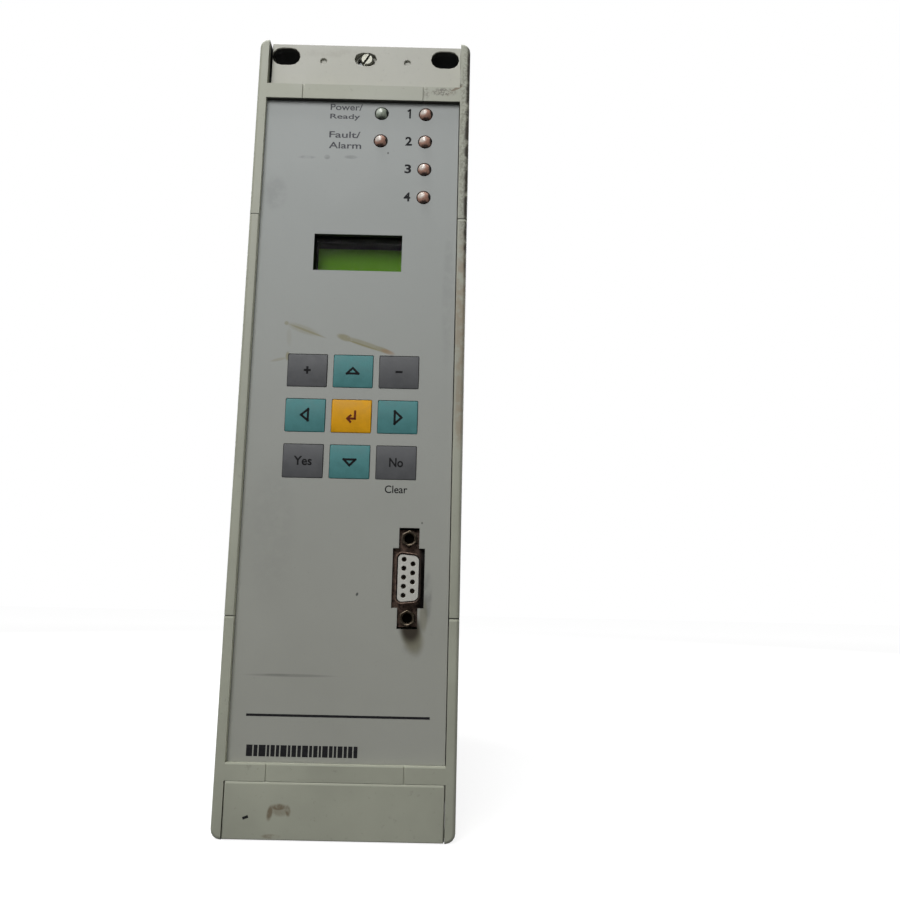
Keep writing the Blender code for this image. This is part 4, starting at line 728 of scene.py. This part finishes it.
class RELAY_OT_stage(bpy.types.Operator):
    """Set the floor, the white surroundings, the soft lamps and the camera"""

    bl_idname = "relay.stage"
    bl_label = "Stage"

    def execute(self, context):
        scene = context.scene
        floor_mesh = bpy.data.meshes.new("floor")
        bm = bmesh.new()
        bmesh.ops.create_grid(bm, x_segments=1, y_segments=1, size=4.0)
        bm.to_mesh(floor_mesh)
        bm.free()
        floor = placed("floor", floor_mesh)
        floor_mesh.materials.append(self.floor_paint())
        self.surroundings(scene)
        self.lamp("front_softbox", (-0.24, -0.9, 0.75), (0, -0.12, 0.14), 0.6, 8.0)
        self.lamp("ceiling_softbox", (-0.12, -0.16, 0.85), (0, -0.12, 0.2), 0.3, 3.0)
        self.lamp("rear_softbox_left", (-0.85, 0.75, 0.55), (0, 0.1, 0.13), 0.6, 7.5)
        self.lamp("rear_softbox_right", (0.85, 0.75, 0.55), (0, 0.1, 0.13), 0.6, 7.5)
        self.view(scene)
        return {"FINISHED"}

    def floor_paint(self):
        """Matt pale floor that the camera sees nearly white, with the relay's shadow kept."""
        made = bpy.data.materials.new("pale_floor")
        made.use_nodes = True
        tree = made.node_tree
        tree.nodes.clear()
        ray = add_node(tree, "ShaderNodeLightPath").outputs
        place = add_node(tree, "ShaderNodeTexCoord").outputs["Object"]
        far = add_node(tree, "ShaderNodeVectorMath", {0: place}, operation="LENGTH").outputs["Value"]
        glow = add_node(tree, "ShaderNodeMapRange", {
            "Value": far, 1: 0.3, 2: 2.0, 3: 0.82, 4: 0.95}).outputs[0]
        seen = add_node(tree, "ShaderNodeAddShader", {
            0: add_node(tree, "ShaderNodeBsdfDiffuse", {"Color": (0.32, 0.32, 0.32, 1)}).outputs[0],
            1: add_node(tree, "ShaderNodeEmission", {"Color": (1, 1, 1, 1), "Strength": glow}).outputs[0]})
        plain = add_node(tree, "ShaderNodeBsdfDiffuse", {"Color": (0.2, 0.2, 0.2, 1)})
        mix = add_node(tree, "ShaderNodeMixShader", {0: ray["Is Camera Ray"], 1: plain.outputs[0],
                                                     2: seen.outputs[0]})
        add_node(tree, "ShaderNodeOutputMaterial", {"Surface": mix.outputs[0]})
        return made

    def surroundings(self, scene):
        """White for the camera and through the clear parts, softer for light on the relay."""
        world = bpy.data.worlds.new("white_room")
        world.use_nodes = True
        scene.world = world
        tree = world.node_tree
        tree.nodes.clear()
        ray = add_node(tree, "ShaderNodeLightPath").outputs
        shown = add_node(tree, "ShaderNodeMath", {0: ray["Is Camera Ray"], 1: ray["Is Transmission Ray"]},
                         operation="MAXIMUM").outputs[0]
        strength = add_node(tree, "ShaderNodeMapRange", {
            "Value": shown, 1: 0, 2: 1, 3: 0.11, 4: 1.0}).outputs[0]
        back = add_node(tree, "ShaderNodeBackground", {"Color": (1, 1, 1, 1), "Strength": strength})
        add_node(tree, "ShaderNodeOutputWorld", {"Surface": back.outputs[0]})

    def lamp(self, name, place, aim, width, power):
        """A square soft lamp that points at a place."""
        light = bpy.data.lights.new(name, "AREA")
        light.size, light.energy = width, power
        made = placed(name, light)
        made.location = place
        made.rotation_euler = (Vector(aim) - Vector(place)).to_track_quat("-Z", "Y").to_euler()

    def view(self, scene):
        """Camera below the display and a little to the right, looking slightly up."""
        lens = bpy.data.cameras.new("camera")
        lens.lens, lens.sensor_width, lens.clip_start = 35.0, 36.0, 0.01
        camera = placed("camera", lens)
        camera.location = FACE @ Vector(CAMERA_PLACE)
        camera.rotation_euler = [math.radians(angle) for angle in CAMERA_DEGREES]
        scene.camera = camera
        scene.view_settings.view_transform = "Standard"


class RELAY_OT_frame(bpy.types.Operator):
    """Dress the four lengths of the moulded frame and the cover cap"""

    bl_idname = "relay.frame"
    bl_label = "Frame and cap"

    def execute(self, context):
        plastic = frame_plastic()
        edge, slit = size("moulded_edge"), size("slit_edge")

        def near_slit(point):
            return abs(abs(point.x) - SLIT_X) < 0.7 and point.y < 2.5

        def above_cap(point):
            return -117 < point.z < -115.5 and point.y < 1

        for node in ("front_frame_top", "front_frame_bottom", "side_strip_left", "side_strip_right"):
            bm = cad_copy(node)
            for vert in bm.verts:
                if near_slit(vert.co):
                    vert.co.y = min(vert.co.y, SLIT_DEPTH)
                outer = abs(vert.co.z) - SOLID_JOINT
                if abs(outer) < 0.8:
                    lip = math.copysign(JOINT_HALF_GAP, outer) * math.copysign(1, vert.co.z)
                    vert.co.z = self.seam(vert.co) + lip
            round_edges(bm, slit, 2, near_slit)
            round_edges(bm, slit, 2, above_cap)
            round_edges(bm, edge, 3, lambda point: not near_slit(point) and not above_cap(point))
            piece(node + "_finish", bm, plastic, "relay", node)
        self.cap(plastic)
        return {"FINISHED"}

    def seam(self, point):
        """Height of the joint that is nearest to a place on a rail."""
        if point.z > 0:
            return JOINT_UPPER_RIGHT if point.x > 0 else JOINT_UPPER_LEFT
        return JOINT_LOWER_RIGHT if point.x > 0 else JOINT_LOWER_LEFT

    def cap(self, plastic):
        """The cover cap, its upper edge closed up to the crossbar, and the small black nick on it."""
        bm = cad_copy("cover_cap")
        top = extent("cover_cap")[2].z
        for vert in bm.verts:
            if vert.co.z > top - 0.5:
                vert.co.z += 0.27
        round_edges(bm, 0.7, 3, lambda point: point.z > top - 0.5 and point.y < 0.1)
        round_edges(bm, 0.25, 2, lambda point: point.z < top - 0.5)
        piece("cover_cap_finish", bm, plastic, "cover_cap", "cover_cap")

        bm = bmesh.new()
        line(bm, (-27.35, -126.6), (-25.7, -126.0), 0.8, -size("ink"), 0.1)
        piece("cap_mark", bm, ink("mark_black", paint("ink")), "cover_cap")


class RELAY_OT_brackets(bpy.types.Operator):
    """Dress the mounting brackets and turn their slotted screws"""

    bl_idname = "relay.brackets"
    bl_label = "Brackets and screws"

    def execute(self, context):
        # Painted shade: dark deep inside the bracket, behind its slots, its peg holes and its middle well.
        painted_shade_wells = [(x, (front, 29.2), (-132.7, 132.7)) for x, front in (
            ((-33.5, -20), 3.6), ((20, 33.5), 3.6), ((-18, -11), 4.4), ((11, 18), 4.4), ((-10, 11), 7.2))]
        dust = [([(-12, 130, 40, 6, 0, 0.2)], paint("stain"))]
        plastic = moulded("bracket_plastic", paint("bracket"), dust, painted_shade_boxes=painted_shade_wells)
        steel = plated_steel("plated_screw", "#85857C", 0.45, 0.15)
        for node in ("bracket_top", "bracket_bottom"):
            self.moulding(node, plastic)
        for node in ("bracket_screw_top", "bracket_screw_bottom"):
            self.screw(node, steel)
        return {"FINISHED"}

    def moulding(self, node, plastic):
        """The bracket, its two ends a little further right, and the roof's ears that reach the rails."""
        bm = cad_copy(node)
        middle, low = extent(node)[:2]
        for vert in bm.verts:
            if abs(vert.co.x) > 33.2:
                vert.co.x += 0.25 if vert.co.x > 0 else 0.35

        def from_peg_hole(point):
            return math.hypot(abs(point.x) - PEG_X, point.z - self.peg_height(node))

        round_edges(bm, 0.45, 2, lambda point: point.y < low.y + 0.05 and from_peg_hole(point) < 1.6)
        round_edges(bm, 0.2, 2, lambda point: not (point.y < low.y + 0.9 and abs(abs(point.x) - PEG_X) < 2.4))
        roof = sorted(math.copysign(z, middle.z) for z in (131.9, 132.7))
        for side in (-1, 1):
            box(bm, sorted((side * 33.0, side * 35.2)), (6.4, 14), roof)
            if node == "bracket_top":
                rod(bm, side * PEG_X, self.peg_height(node), 1.3, (low.y + 0.8, low.y + 1.1), 24)
        piece(node + "_finish", bm, plastic, "relay", node)

    def peg_height(self, node):
        """Height of a bracket's two peg holes."""
        return math.copysign(PEG_Z, extent(node)[0].z)

    def screw(self, node, steel):
        """Cheese-head screw with a rounded rim, its slot turned as in the photo."""
        middle, low, high = extent(node)
        front, radius = low.y, (high.x - low.x) / 2
        bm = bmesh.new()
        turned(bm, [(0, front), (radius - 0.5, front), (radius - 0.2, front + 0.1), (radius, front + 0.45),
                    (radius, front + 1.8), (1.25, front + 1.8), (1.25, high.y), (0, high.y)],
               middle.x, middle.z)
        bm = slotted(bm, middle.x, middle.z, [math.radians(58)], 3, 0.8, front - 1, front + 0.9)
        round_edges(bm, 0.06, 2, before(front + 0.3))
        piece(node + "_finish", bm, steel, "relay", node)


class RELAY_OT_panel(bpy.types.Operator):
    """Cut the front panel and print its lines, labels and numbers"""

    bl_idname = "relay.panel"
    bl_label = "Front panel"

    def execute(self, context):
        low, high = extent("front_panel")[1:]
        bm = bmesh.new()
        box(bm, PANEL_SIDES, (PANEL_FRONT, PANEL_FRONT + 2), (low.z - 0.3, high.z + 0.2))
        cutter = bmesh.new()
        through = (PANEL_FRONT - 1, PANEL_FRONT + 3)
        for lamp in LAMPS:
            here = extent(lamp)[0]
            rod(cutter, here.x, here.z, LAMP_HOLE_RADIUS, through)
        for node, inset, corner in [(key, 0.5, 0.4) for key in KEY_FINISH] + [("display_window", 1.6, 0.0)]:
            first, last = extent(node)[1:]
            box(cutter, (first.x + inset, last.x - inset), through, (first.z + inset, last.z - inset), corner)
        port = extent("port_shell")[0]
        for half, tall in ((5.1, 9.4), (3.2, 15.9)):    # round the shell, and down to its two locks
            box(cutter, (port.x - half, port.x + half), through, (port.z - tall, port.z + tall))
        bm = carved(bm, cutter)
        round_edges(bm, size("foil_edge"), 2, before(PANEL_FRONT + 0.1))
        self.back(bm, low, high)
        piece("front_panel_finish", bm, printed_foil(), "relay", "front_panel")
        self.print()
        return {"FINISHED"}

    def back(self, bm, low, high):
        """Folded ends and the four pillars behind the plate."""
        for z in (low.z, high.z - 1):
            box(bm, (-30, 30), (PANEL_FRONT + 1.5, high.y), (z, z + 1))
        for x in (-28, 28):
            for z in (-98.4, extent("display_window")[0].z + 14):
                rod(bm, x, z, 2, (PANEL_FRONT + 1.5, 13.7), 24)

    def print(self):
        """Rule, bar strip, lamp numbers and plain labels, in ink on the foil."""
        front, back = PANEL_FRONT - size("ink"), PANEL_FRONT + 0.05
        black = ink("panel_ink", paint("ink"))
        bm = bmesh.new()
        line(bm, *RULE_ENDS, RULE_WIDTH, front, back)
        x = BARS_LEFT
        for width in BAR_WIDTHS:
            box(bm, (x, x + width), (front, back), BARS_Z)
            x += width + BAR_GAP
        for number in range(1, 5):
            z = extent(f"lamp_{number}")[0].z
            if number > 1:
                lettered(bm, str(number), 16.2, z + 0.1, 3.3, 2.3, front, back, 0.03)
            else:
                strokes(bm, [(15.8, z + 1.2), (16.4, z + 1.6), (16.4, z - 1.3)], 0.6, front, back)
        piece("panel_print", bm, black, "relay")
        faint = ink("faded_ink", tint(paint("ink"), 5.5))
        bm = bmesh.new()
        for text, z, width in (("Power/", 108.5, 11.2), ("Ready", 104.7, 10.4), ("Fault/", 98.1, 10.8),
                               ("Alarm", 94.1, 11.2)):
            lettered(bm, text, -11.4 + width / 2, z, 2.4, width, front, back)
        piece("label_print", bm, faint, "relay")
        bm = bmesh.new()
        lettered(bm, "Clear", 15.7, -25.5, 2.5, 7.3, front, back)
        piece("clear_print", bm, black, "relay")


class RELAY_OT_keys(bpy.types.Operator):
    """Mould the nine crowned keys and print their symbols"""

    bl_idname = "relay.keys"
    bl_label = "Keys"

    def execute(self, context):
        finishes = {tone: key_plastic(f"key_plastic_{tone}", paint(tone))
                    for tone in ("grey", "teal", "yellow")}
        black, red = ink("key_ink", tint(paint("ink"), 0.5)), ink("enter_ink", paint("red_ink"))
        for node, tone in KEY_FINISH.items():
            self.cap(node, finishes[tone])
            self.symbol(node, red if node == "key_enter" else black, "key_" + tone)
        return {"FINISHED"}

    def crown(self, node):
        """Depth of a key's face at an (x, z) point."""
        middle, low, high = extent(node)
        half = (high.z - low.z) / 2 - KEY_RIM
        return lambda x, z: low.y + size("key_crown") * ((z - middle.z) / half) ** 2

    def cap(self, node, material):
        """A crowned face with soft edges, its rim behind the panel and its stem."""
        middle, low, high = extent(node)
        half = Vector((high.x - low.x, 0, high.z - low.z)) / 2 - Vector((KEY_RIM, 0, KEY_RIM))
        depth = self.crown(node)
        bm = bmesh.new()
        grid = bmesh.ops.create_grid(bm, x_segments=10, y_segments=12, size=1.0)["verts"]
        bmesh.ops.rotate(bm, matrix=Matrix.Rotation(math.pi / 2, 3, "X"), verts=grid)
        bmesh.ops.scale(bm, vec=(half.x, 1, half.z), verts=grid)
        bmesh.ops.translate(bm, vec=(middle.x, 0, middle.z), verts=grid)
        for vert in grid:
            vert.co.y = depth(vert.co.x, vert.co.z)
        rim = [e for e in bm.edges if e.is_boundary]
        walls = bmesh.ops.extrude_edge_only(bm, edges=rim)["geom"]
        for vert in verts_of(walls):
            vert.co.y = PANEL_FRONT + 2.5
        bmesh.ops.contextual_create(bm, geom=[e for e in bm.edges if e.is_boundary])
        outward(bm)
        round_edges(bm, size("key_edge"), 3, before(PANEL_FRONT + 2.4))
        box(bm, (low.x, high.x), (PANEL_FRONT + 2.3, PANEL_FRONT + 3.1), (low.z, high.z))
        rod(bm, middle.x, middle.z, 2.0, (PANEL_FRONT + 3, high.y), 24)
        piece(node + "_finish", bm, material, node, node)

    def symbol(self, node, material, slot):
        """The mark on a key, laid on its crown."""
        middle = extent(node)[0]
        x, z, wide = middle.x, middle.z, size("stroke")
        front, back = -size("ink"), 0.12
        bm = bmesh.new()
        shapes = {
            "key_plus": [[(x - 0.8, z), (x + 0.8, z)], [(x, z - 0.9), (x, z + 0.9)]],
            "key_minus": [[(x - 0.8, z), (x + 0.8, z)]],
            "key_up": [[(x - 2.05, z - 0.85), (x + 1.75, z - 0.85), (x - 0.15, z + 1.0)]],
            "key_down": [[(x - 1.9, z + 0.7), (x + 1.9, z + 0.7), (x, z - 1.25)]],
            "key_left": [[(x + 0.95, z - 1.8), (x + 0.95, z + 2.0), (x - 1.3, z)]],
            "key_right": [[(x - 0.95, z - 2.3), (x - 0.95, z + 1.9), (x + 1.3, z - 0.2)]],
            "key_enter": [[(x + 1.2, z + 1.5), (x + 1.2, z - 0.9), (x - 1.2, z - 0.9)],
                          [(x - 0.3, z + 0.1), (x - 1.3, z - 0.9), (x - 0.3, z - 1.9)]],
        }
        if node in shapes:
            closed = len(shapes[node][0]) == 3 and node != "key_enter"
            for chain in shapes[node]:
                strokes(bm, chain, wide, front, back, closed)
        else:
            word, width = {"key_yes": ("Yes", 5.9), "key_no": ("No", 4.5)}[node]
            lettered(bm, word, x, z, 3.0, width, front, back, 0.02)
        for step in range(-7, 8):
            bmesh.ops.bisect_plane(bm, geom=bm.verts[:] + bm.edges[:] + bm.faces[:], dist=1e-5,
                                   plane_co=(0, 0, z + step * 0.4), plane_no=(0, 0, 1))
        depth = self.crown(node)
        for vert in bm.verts:
            vert.co.y += depth(vert.co.x, vert.co.z)
        piece(node + "_print", bm, material, node)


class RELAY_OT_lamps(bpy.types.Operator):
    """Make the six clear-domed lamps with what is cast inside them"""

    bl_idname = "relay.lamps"
    bl_label = "Lamps"

    def execute(self, context):
        # Each lens's tones: body, painted highlight, painted shade.
        pink = lens_epoxy("epoxy_red", ("#C99B88", "#E2D8CE", "#2A1811"), LAMPS[1:])
        green = lens_epoxy("epoxy_green", ("#A6B0A0", "#D3DACE", "#222B20"), LAMPS[:1])
        red_core, green_core = cast_core("cast_core_red", "#C98F7C"), cast_core("cast_core_green", "#9AA893")
        silver = plated_steel("silvered_lead", "#D8D8D4", 0.2, 0.1)
        for node in LAMPS:
            lit = node == "lamp_service"
            slot = "lamp_green" if lit else "lamp_red"
            self.lens(node, green if lit else pink, slot)
            self.core(node, green_core if lit else red_core, silver, slot)
        return {"FINISHED"}

    def lens(self, node, material, slot):
        """A dome on a short cylinder, with a rim behind the panel."""
        middle, low, high = extent(node)
        radius = (high.x - low.x) / 2 - LENS_RIM
        dome = [(radius * math.sin(math.radians(angle)), low.y + radius * (1 - math.cos(math.radians(angle))))
                for angle in range(0, 91, 9)]
        bm = bmesh.new()
        rim = radius + LENS_RIM
        turned(bm, dome + [(radius, 4.1), (rim, 4.1), (rim, 5.0), (radius, 5.0), (radius, 8.6), (0, 8.6)],
               middle.x, middle.z, 40)
        outward(bm)
        piece(node + "_lens", bm, material, "relay", node)

    def core(self, node, cast, silver, slot):
        """Coloured casting with a dished face, dark at its edge, and the two leads."""
        middle, _, high = extent(node)
        bm = bmesh.new()
        turned(bm, [(0, 3.0), (0.5, 2.9), (1.1, 2.5), (1.45, 2.4), (1.8, 2.9), (1.95, 3.6), (1.95, 8.2),
                    (0, 8.2)], middle.x, middle.z, 32)
        outward(bm)
        piece(node + "_core", bm, cast, "relay")
        bm = bmesh.new()
        for side in (-1.27, 1.27):
            box(bm, (middle.x + side - 0.25, middle.x + side + 0.25), (8.4, high.y),
                (middle.z - 0.25, middle.z + 0.25))
        piece(node + "_leads", bm, silver, "relay")


class RELAY_OT_display(bpy.types.Operator):
    """Fit the display's pane, its deep black bezel and its green glass"""

    bl_idname = "relay.display"
    bl_label = "Display"

    def execute(self, context):
        dressed("display_window", clear_pane(), 0.1)
        bezel = moulded("bezel_plastic", opaque("#0A0B0B"), roughness=0.7)
        bezel.node_tree.nodes["Principled BSDF"].inputs["Specular IOR Level"].default_value = 0.08
        dressed("display_bezel", bezel, 0.1)
        painted(["display_module"], display_glass())
        return {"FINISHED"}


class RELAY_OT_port(bpy.types.Operator):
    """Press, mould and thread the nine-pole serial port"""

    bl_idname = "relay.port"
    bl_label = "Serial port"

    def execute(self, context):
        tin = dirty_tin(extent("port_shell")[0].x)
        self.shell(tin)
        self.insert()
        # The locks' bores are painted black beyond 1.5 mm as painted shade.
        steel = plated_steel("lock_steel", "#675D51", 0.34, 0.85, 1.5)
        for node in ("port_screw_upper", "port_screw_lower"):
            self.lock(node, steel)
        return {"FINISHED"}

    def d_shape(self, bm, grow, y):
        """The port's outline as a solid: a box whose right side is shorter, with round corners."""
        here = extent("port_shell")[0]
        half, tall = PORT_HALF_WIDTH + grow, PORT_HALF_LENGTH + grow
        verts = box(bm, (here.x - half, here.x + half), y, (here.z - tall, here.z + tall))
        short = 1 - 2 * half * math.tan(PORT_TAPER) / tall
        for vert in verts:
            if vert.co.x > here.x:
                vert.co.z = here.z + (vert.co.z - here.z) * short
        round_along_y(bm, verts, PORT_CORNER + grow, 8)

    def shell(self, material):
        """Flange with two holes and a drawn collar with a rolled edge."""
        here, low, high = extent("port_shell")
        bm = bmesh.new()
        box(bm, (low.x, high.x), PORT_FLANGE, (low.z, high.z), 1.5)
        cutter = bmesh.new()
        self.d_shape(cutter, -0.3, (3.0, 6.0))
        for sign in (1, -1):
            rod(cutter, here.x, here.z + sign * PORT_LOCK_Z, 1.7, (3.0, 6.0), 24)
        bm = carved(bm, cutter)
        round_edges(bm, 0.1, 2)
        collar, bore = bmesh.new(), bmesh.new()
        self.d_shape(collar, 0.0, (low.y, 4.6))
        self.d_shape(bore, -0.5, (low.y - 1, 5.6))
        collar = carved(collar, bore)
        round_edges(collar, 0.2, 3, before(low.y + 0.1))
        joined(bm, collar)
        piece("port_shell_finish", bm, material, "relay", "port_shell")

    def insert(self):
        """White moulding with nine lead-in holes, and the contacts down in them."""
        here, low, high = extent("port_insert")
        bm, cutter, contacts = bmesh.new(), bmesh.new(), bmesh.new()
        self.d_shape(bm, -0.8, (low.y, 5.8))
        for column, count in ((-1, 5), (1, 4)):
            for pin in range(count):
                x = here.x + column * PORT_COLUMN_X
                z = here.z + PORT_PIN_SHIFT + (pin - (count - 1) / 2) * PORT_PIN_PITCH
                rod(cutter, x, z, 0.78, (low.y - 1, low.y + 4), 24)
                front, rear = low.y + 0.9, low.y + 4
                turned(contacts, [(0.42, front), (0.6, front), (0.6, rear), (0.42, rear), (0.42, front)],
                       x, z, 20)
        bm = carved(bm, cutter)
        round_edges(bm, 0.16, 3, before(low.y + 0.1))
        box(bm, (low.x, high.x), (5.2, high.y), (low.z, high.z), 0.4)
        outward(contacts)
        white = moulded("port_white", opaque("#C2C1B9"), grain=0.9, ageing=0.1)
        piece("port_insert_finish", bm, white, "relay", "port_insert")
        dull = plated_steel("dull_contact", "#4A4034", 0.4, 0.4)
        piece("port_contacts", contacts, dull, "relay")

    def lock(self, node, material):
        """Hexagonal lock with a chamfered rim and a threaded bore."""
        middle, low, high = extent(node)
        bm, cutter = bmesh.new(), bmesh.new()
        rod(bm, middle.x, middle.z, 2.7, (low.y, 3.8), 6)
        rod(cutter, middle.x, middle.z, 1.8, (low.y - 1, low.y + 2.4), 36)
        bm = carved(bm, cutter)
        round_edges(bm, 0.3, 3, before(low.y + 0.1))
        rod(bm, middle.x, middle.z, 1.4, (3.6, high.y), 24)
        turns = [(1.5 if step % 2 else 1.72, low.y + 0.35 + step * 0.25) for step in range(9)]
        turned(bm, turns + [(1.85, turns[-1][1]), (1.85, turns[0][1]), turns[0]], middle.x, middle.z, 36)
        outward(bm)
        piece(node + "_finish", bm, material, "relay", node)


class RELAY_OT_case(bpy.types.Operator):
    """Fold the galvanised case, its rear plate and its fasteners"""

    bl_idname = "relay.case"
    bl_label = "Case"

    def execute(self, context):
        zinc = galvanised()
        steel = plated_steel("case_screw", "#C6C6BE", 0.3, 0.2)
        dressed("housing", zinc, size("sheet_edge"))
        dressed("rear_plate", zinc, size("sheet_edge"))
        dressed("earth_screw", steel, 0.25)
        self.fasteners(steel)
        return {"FINISHED"}

    def fasteners(self, steel):
        """Four pan-head screws with crossed slots, which hold the rear plate."""
        rear = extent("rear_plate")[2].y
        bm = bmesh.new()
        for x, z in ((-29, 115), (29, 115), (-29, -115), (29, -97)):
            head = bmesh.new()
            turned(head, [(0, rear + 1.5), (1.2, rear + 1.45), (2.2, rear + 1.0), (2.6, rear + 0.1),
                          (2.6, rear - 0.2), (0, rear - 0.2)], x, z, 32)
            joined(bm, slotted(head, x, z, (0.6, 0.6 + math.pi / 2), 1.4, 0.6, rear + 0.7, rear + 3))
        piece("rear_plate_screws", bm, steel, "relay")


class RELAY_OT_terminals(bpy.types.Operator):
    """Dress the rear terminal blocks, with their clamping screws and plain numbers"""

    bl_idname = "relay.terminals"
    bl_label = "Terminals"

    def execute(self, context):
        black = moulded("terminal_plastic", opaque("#1B1C1E"), roughness=0.45, grain=0.5)
        steel = plated_steel("clamp_screw", "#B4B4AC", 0.32, 0.3)
        white = ink("white_ink", (0.6, 0.6, 0.58, 1))
        for node, count, pitch, radius in TERMINALS:
            dressed(node, black, 0.15)
            self.screws(node, count, pitch, radius, steel, white)
        return {"FINISHED"}

    def screws(self, node, count, pitch, radius, steel, white):
        """A slotted screw at the bottom of each well, and its number beside it."""
        middle, _, high = extent(node)
        metal, numbers = bmesh.new(), bmesh.new()
        rear = high.y
        for row in range(count):
            for side in (1, -1):
                x, z = middle.x + side * 9, middle.z + (row - (count - 1) / 2) * pitch
                head, drawn = bmesh.new(), bmesh.new()
                turned(head, [(0, rear - 2.0), (radius - 0.55, rear - 2.0), (radius - 0.3, rear - 2.3),
                              (radius - 0.3, rear - 3.2), (0, rear - 3.2)], x, z, 24)
                turn = (row * 37 + side * 20) % 180 * math.pi / 180
                joined(metal, slotted(head, x, z, [turn], radius + 0.5, 0.8, rear - 2.7, rear - 1))
                number = (count - row) * 2 - (1 if side > 0 else 0)
                width = 0.55 if number == 1 else 1.2 if number < 10 else 2.2
                lettered(drawn, str(number), 0, 0, 1.7, width, 0, 0.07)
                bmesh.ops.rotate(drawn, matrix=Matrix.Rotation(math.pi, 3, "Z"), verts=drawn.verts)
                bmesh.ops.translate(drawn, vec=(middle.x + side * 3.6, rear + 0.02, z), verts=drawn.verts)
                joined(numbers, drawn)
        piece(node + "_screws", metal, steel, "relay")
        piece(node + "_numbers", numbers, white, "relay")


class RELAY_OT_inside(bpy.types.Operator):
    """Finish the boards and what they carry inside the case"""

    bl_idname = "relay.inside"
    bl_label = "Inside"

    def execute(self, context):
        for word, material in (
                ("board", solder_mask()), ("ribbon_cable", ribbon()), ("transformer", laminated_core()),
                ("card_guide", moulded("guide_nylon", opaque("#8A8C8C"))),
                ("output_relay", moulded("relay_case", opaque("#2F4F86"), roughness=0.35)),
                ("capacitor", moulded("can_sleeve", opaque("#22242A"), roughness=0.3))):
            painted([node for node in frame["nodes"] if word in node], material)
        return {"FINISHED"}


STEPS = (RELAY_OT_stage, RELAY_OT_frame, RELAY_OT_brackets, RELAY_OT_panel, RELAY_OT_keys, RELAY_OT_lamps,
         RELAY_OT_display, RELAY_OT_port, RELAY_OT_case, RELAY_OT_terminals, RELAY_OT_inside)


class RELAY_PT_sidebar(bpy.types.Panel):
    """The relay's sizes, colours and steps"""

    bl_idname = "RELAY_PT_sidebar"
    bl_label = "Protection relay"
    bl_space_type = "VIEW_3D"
    bl_region_type = "UI"
    bl_category = "Relay"

    def draw(self, context):
        for group in (context.scene.relay_sizes, context.scene.relay_colours):
            column = self.layout.column()
            for name in group.__annotations__:
                column.prop(group, name)
        for step in STEPS:
            self.layout.operator(step.bl_idname)


CLASSES = (RelaySizes, RelayColours, *STEPS, RELAY_PT_sidebar)


def register():
    """Add the classes and their settings to Blender."""
    for each in CLASSES:
        bpy.utils.register_class(each)
    bpy.types.Scene.relay_sizes = bpy.props.PointerProperty(type=RelaySizes)
    bpy.types.Scene.relay_colours = bpy.props.PointerProperty(type=RelayColours)


def unregister():
    """Take them out again."""
    del bpy.types.Scene.relay_sizes, bpy.types.Scene.relay_colours
    for each in reversed(CLASSES):
        bpy.utils.unregister_class(each)


def main():
    """Make every piece in order."""
    register()
    for step in STEPS:
        group, name = step.bl_idname.split(".")
        getattr(getattr(bpy.ops, group), name)()


if __name__ == "__main__":
    main()
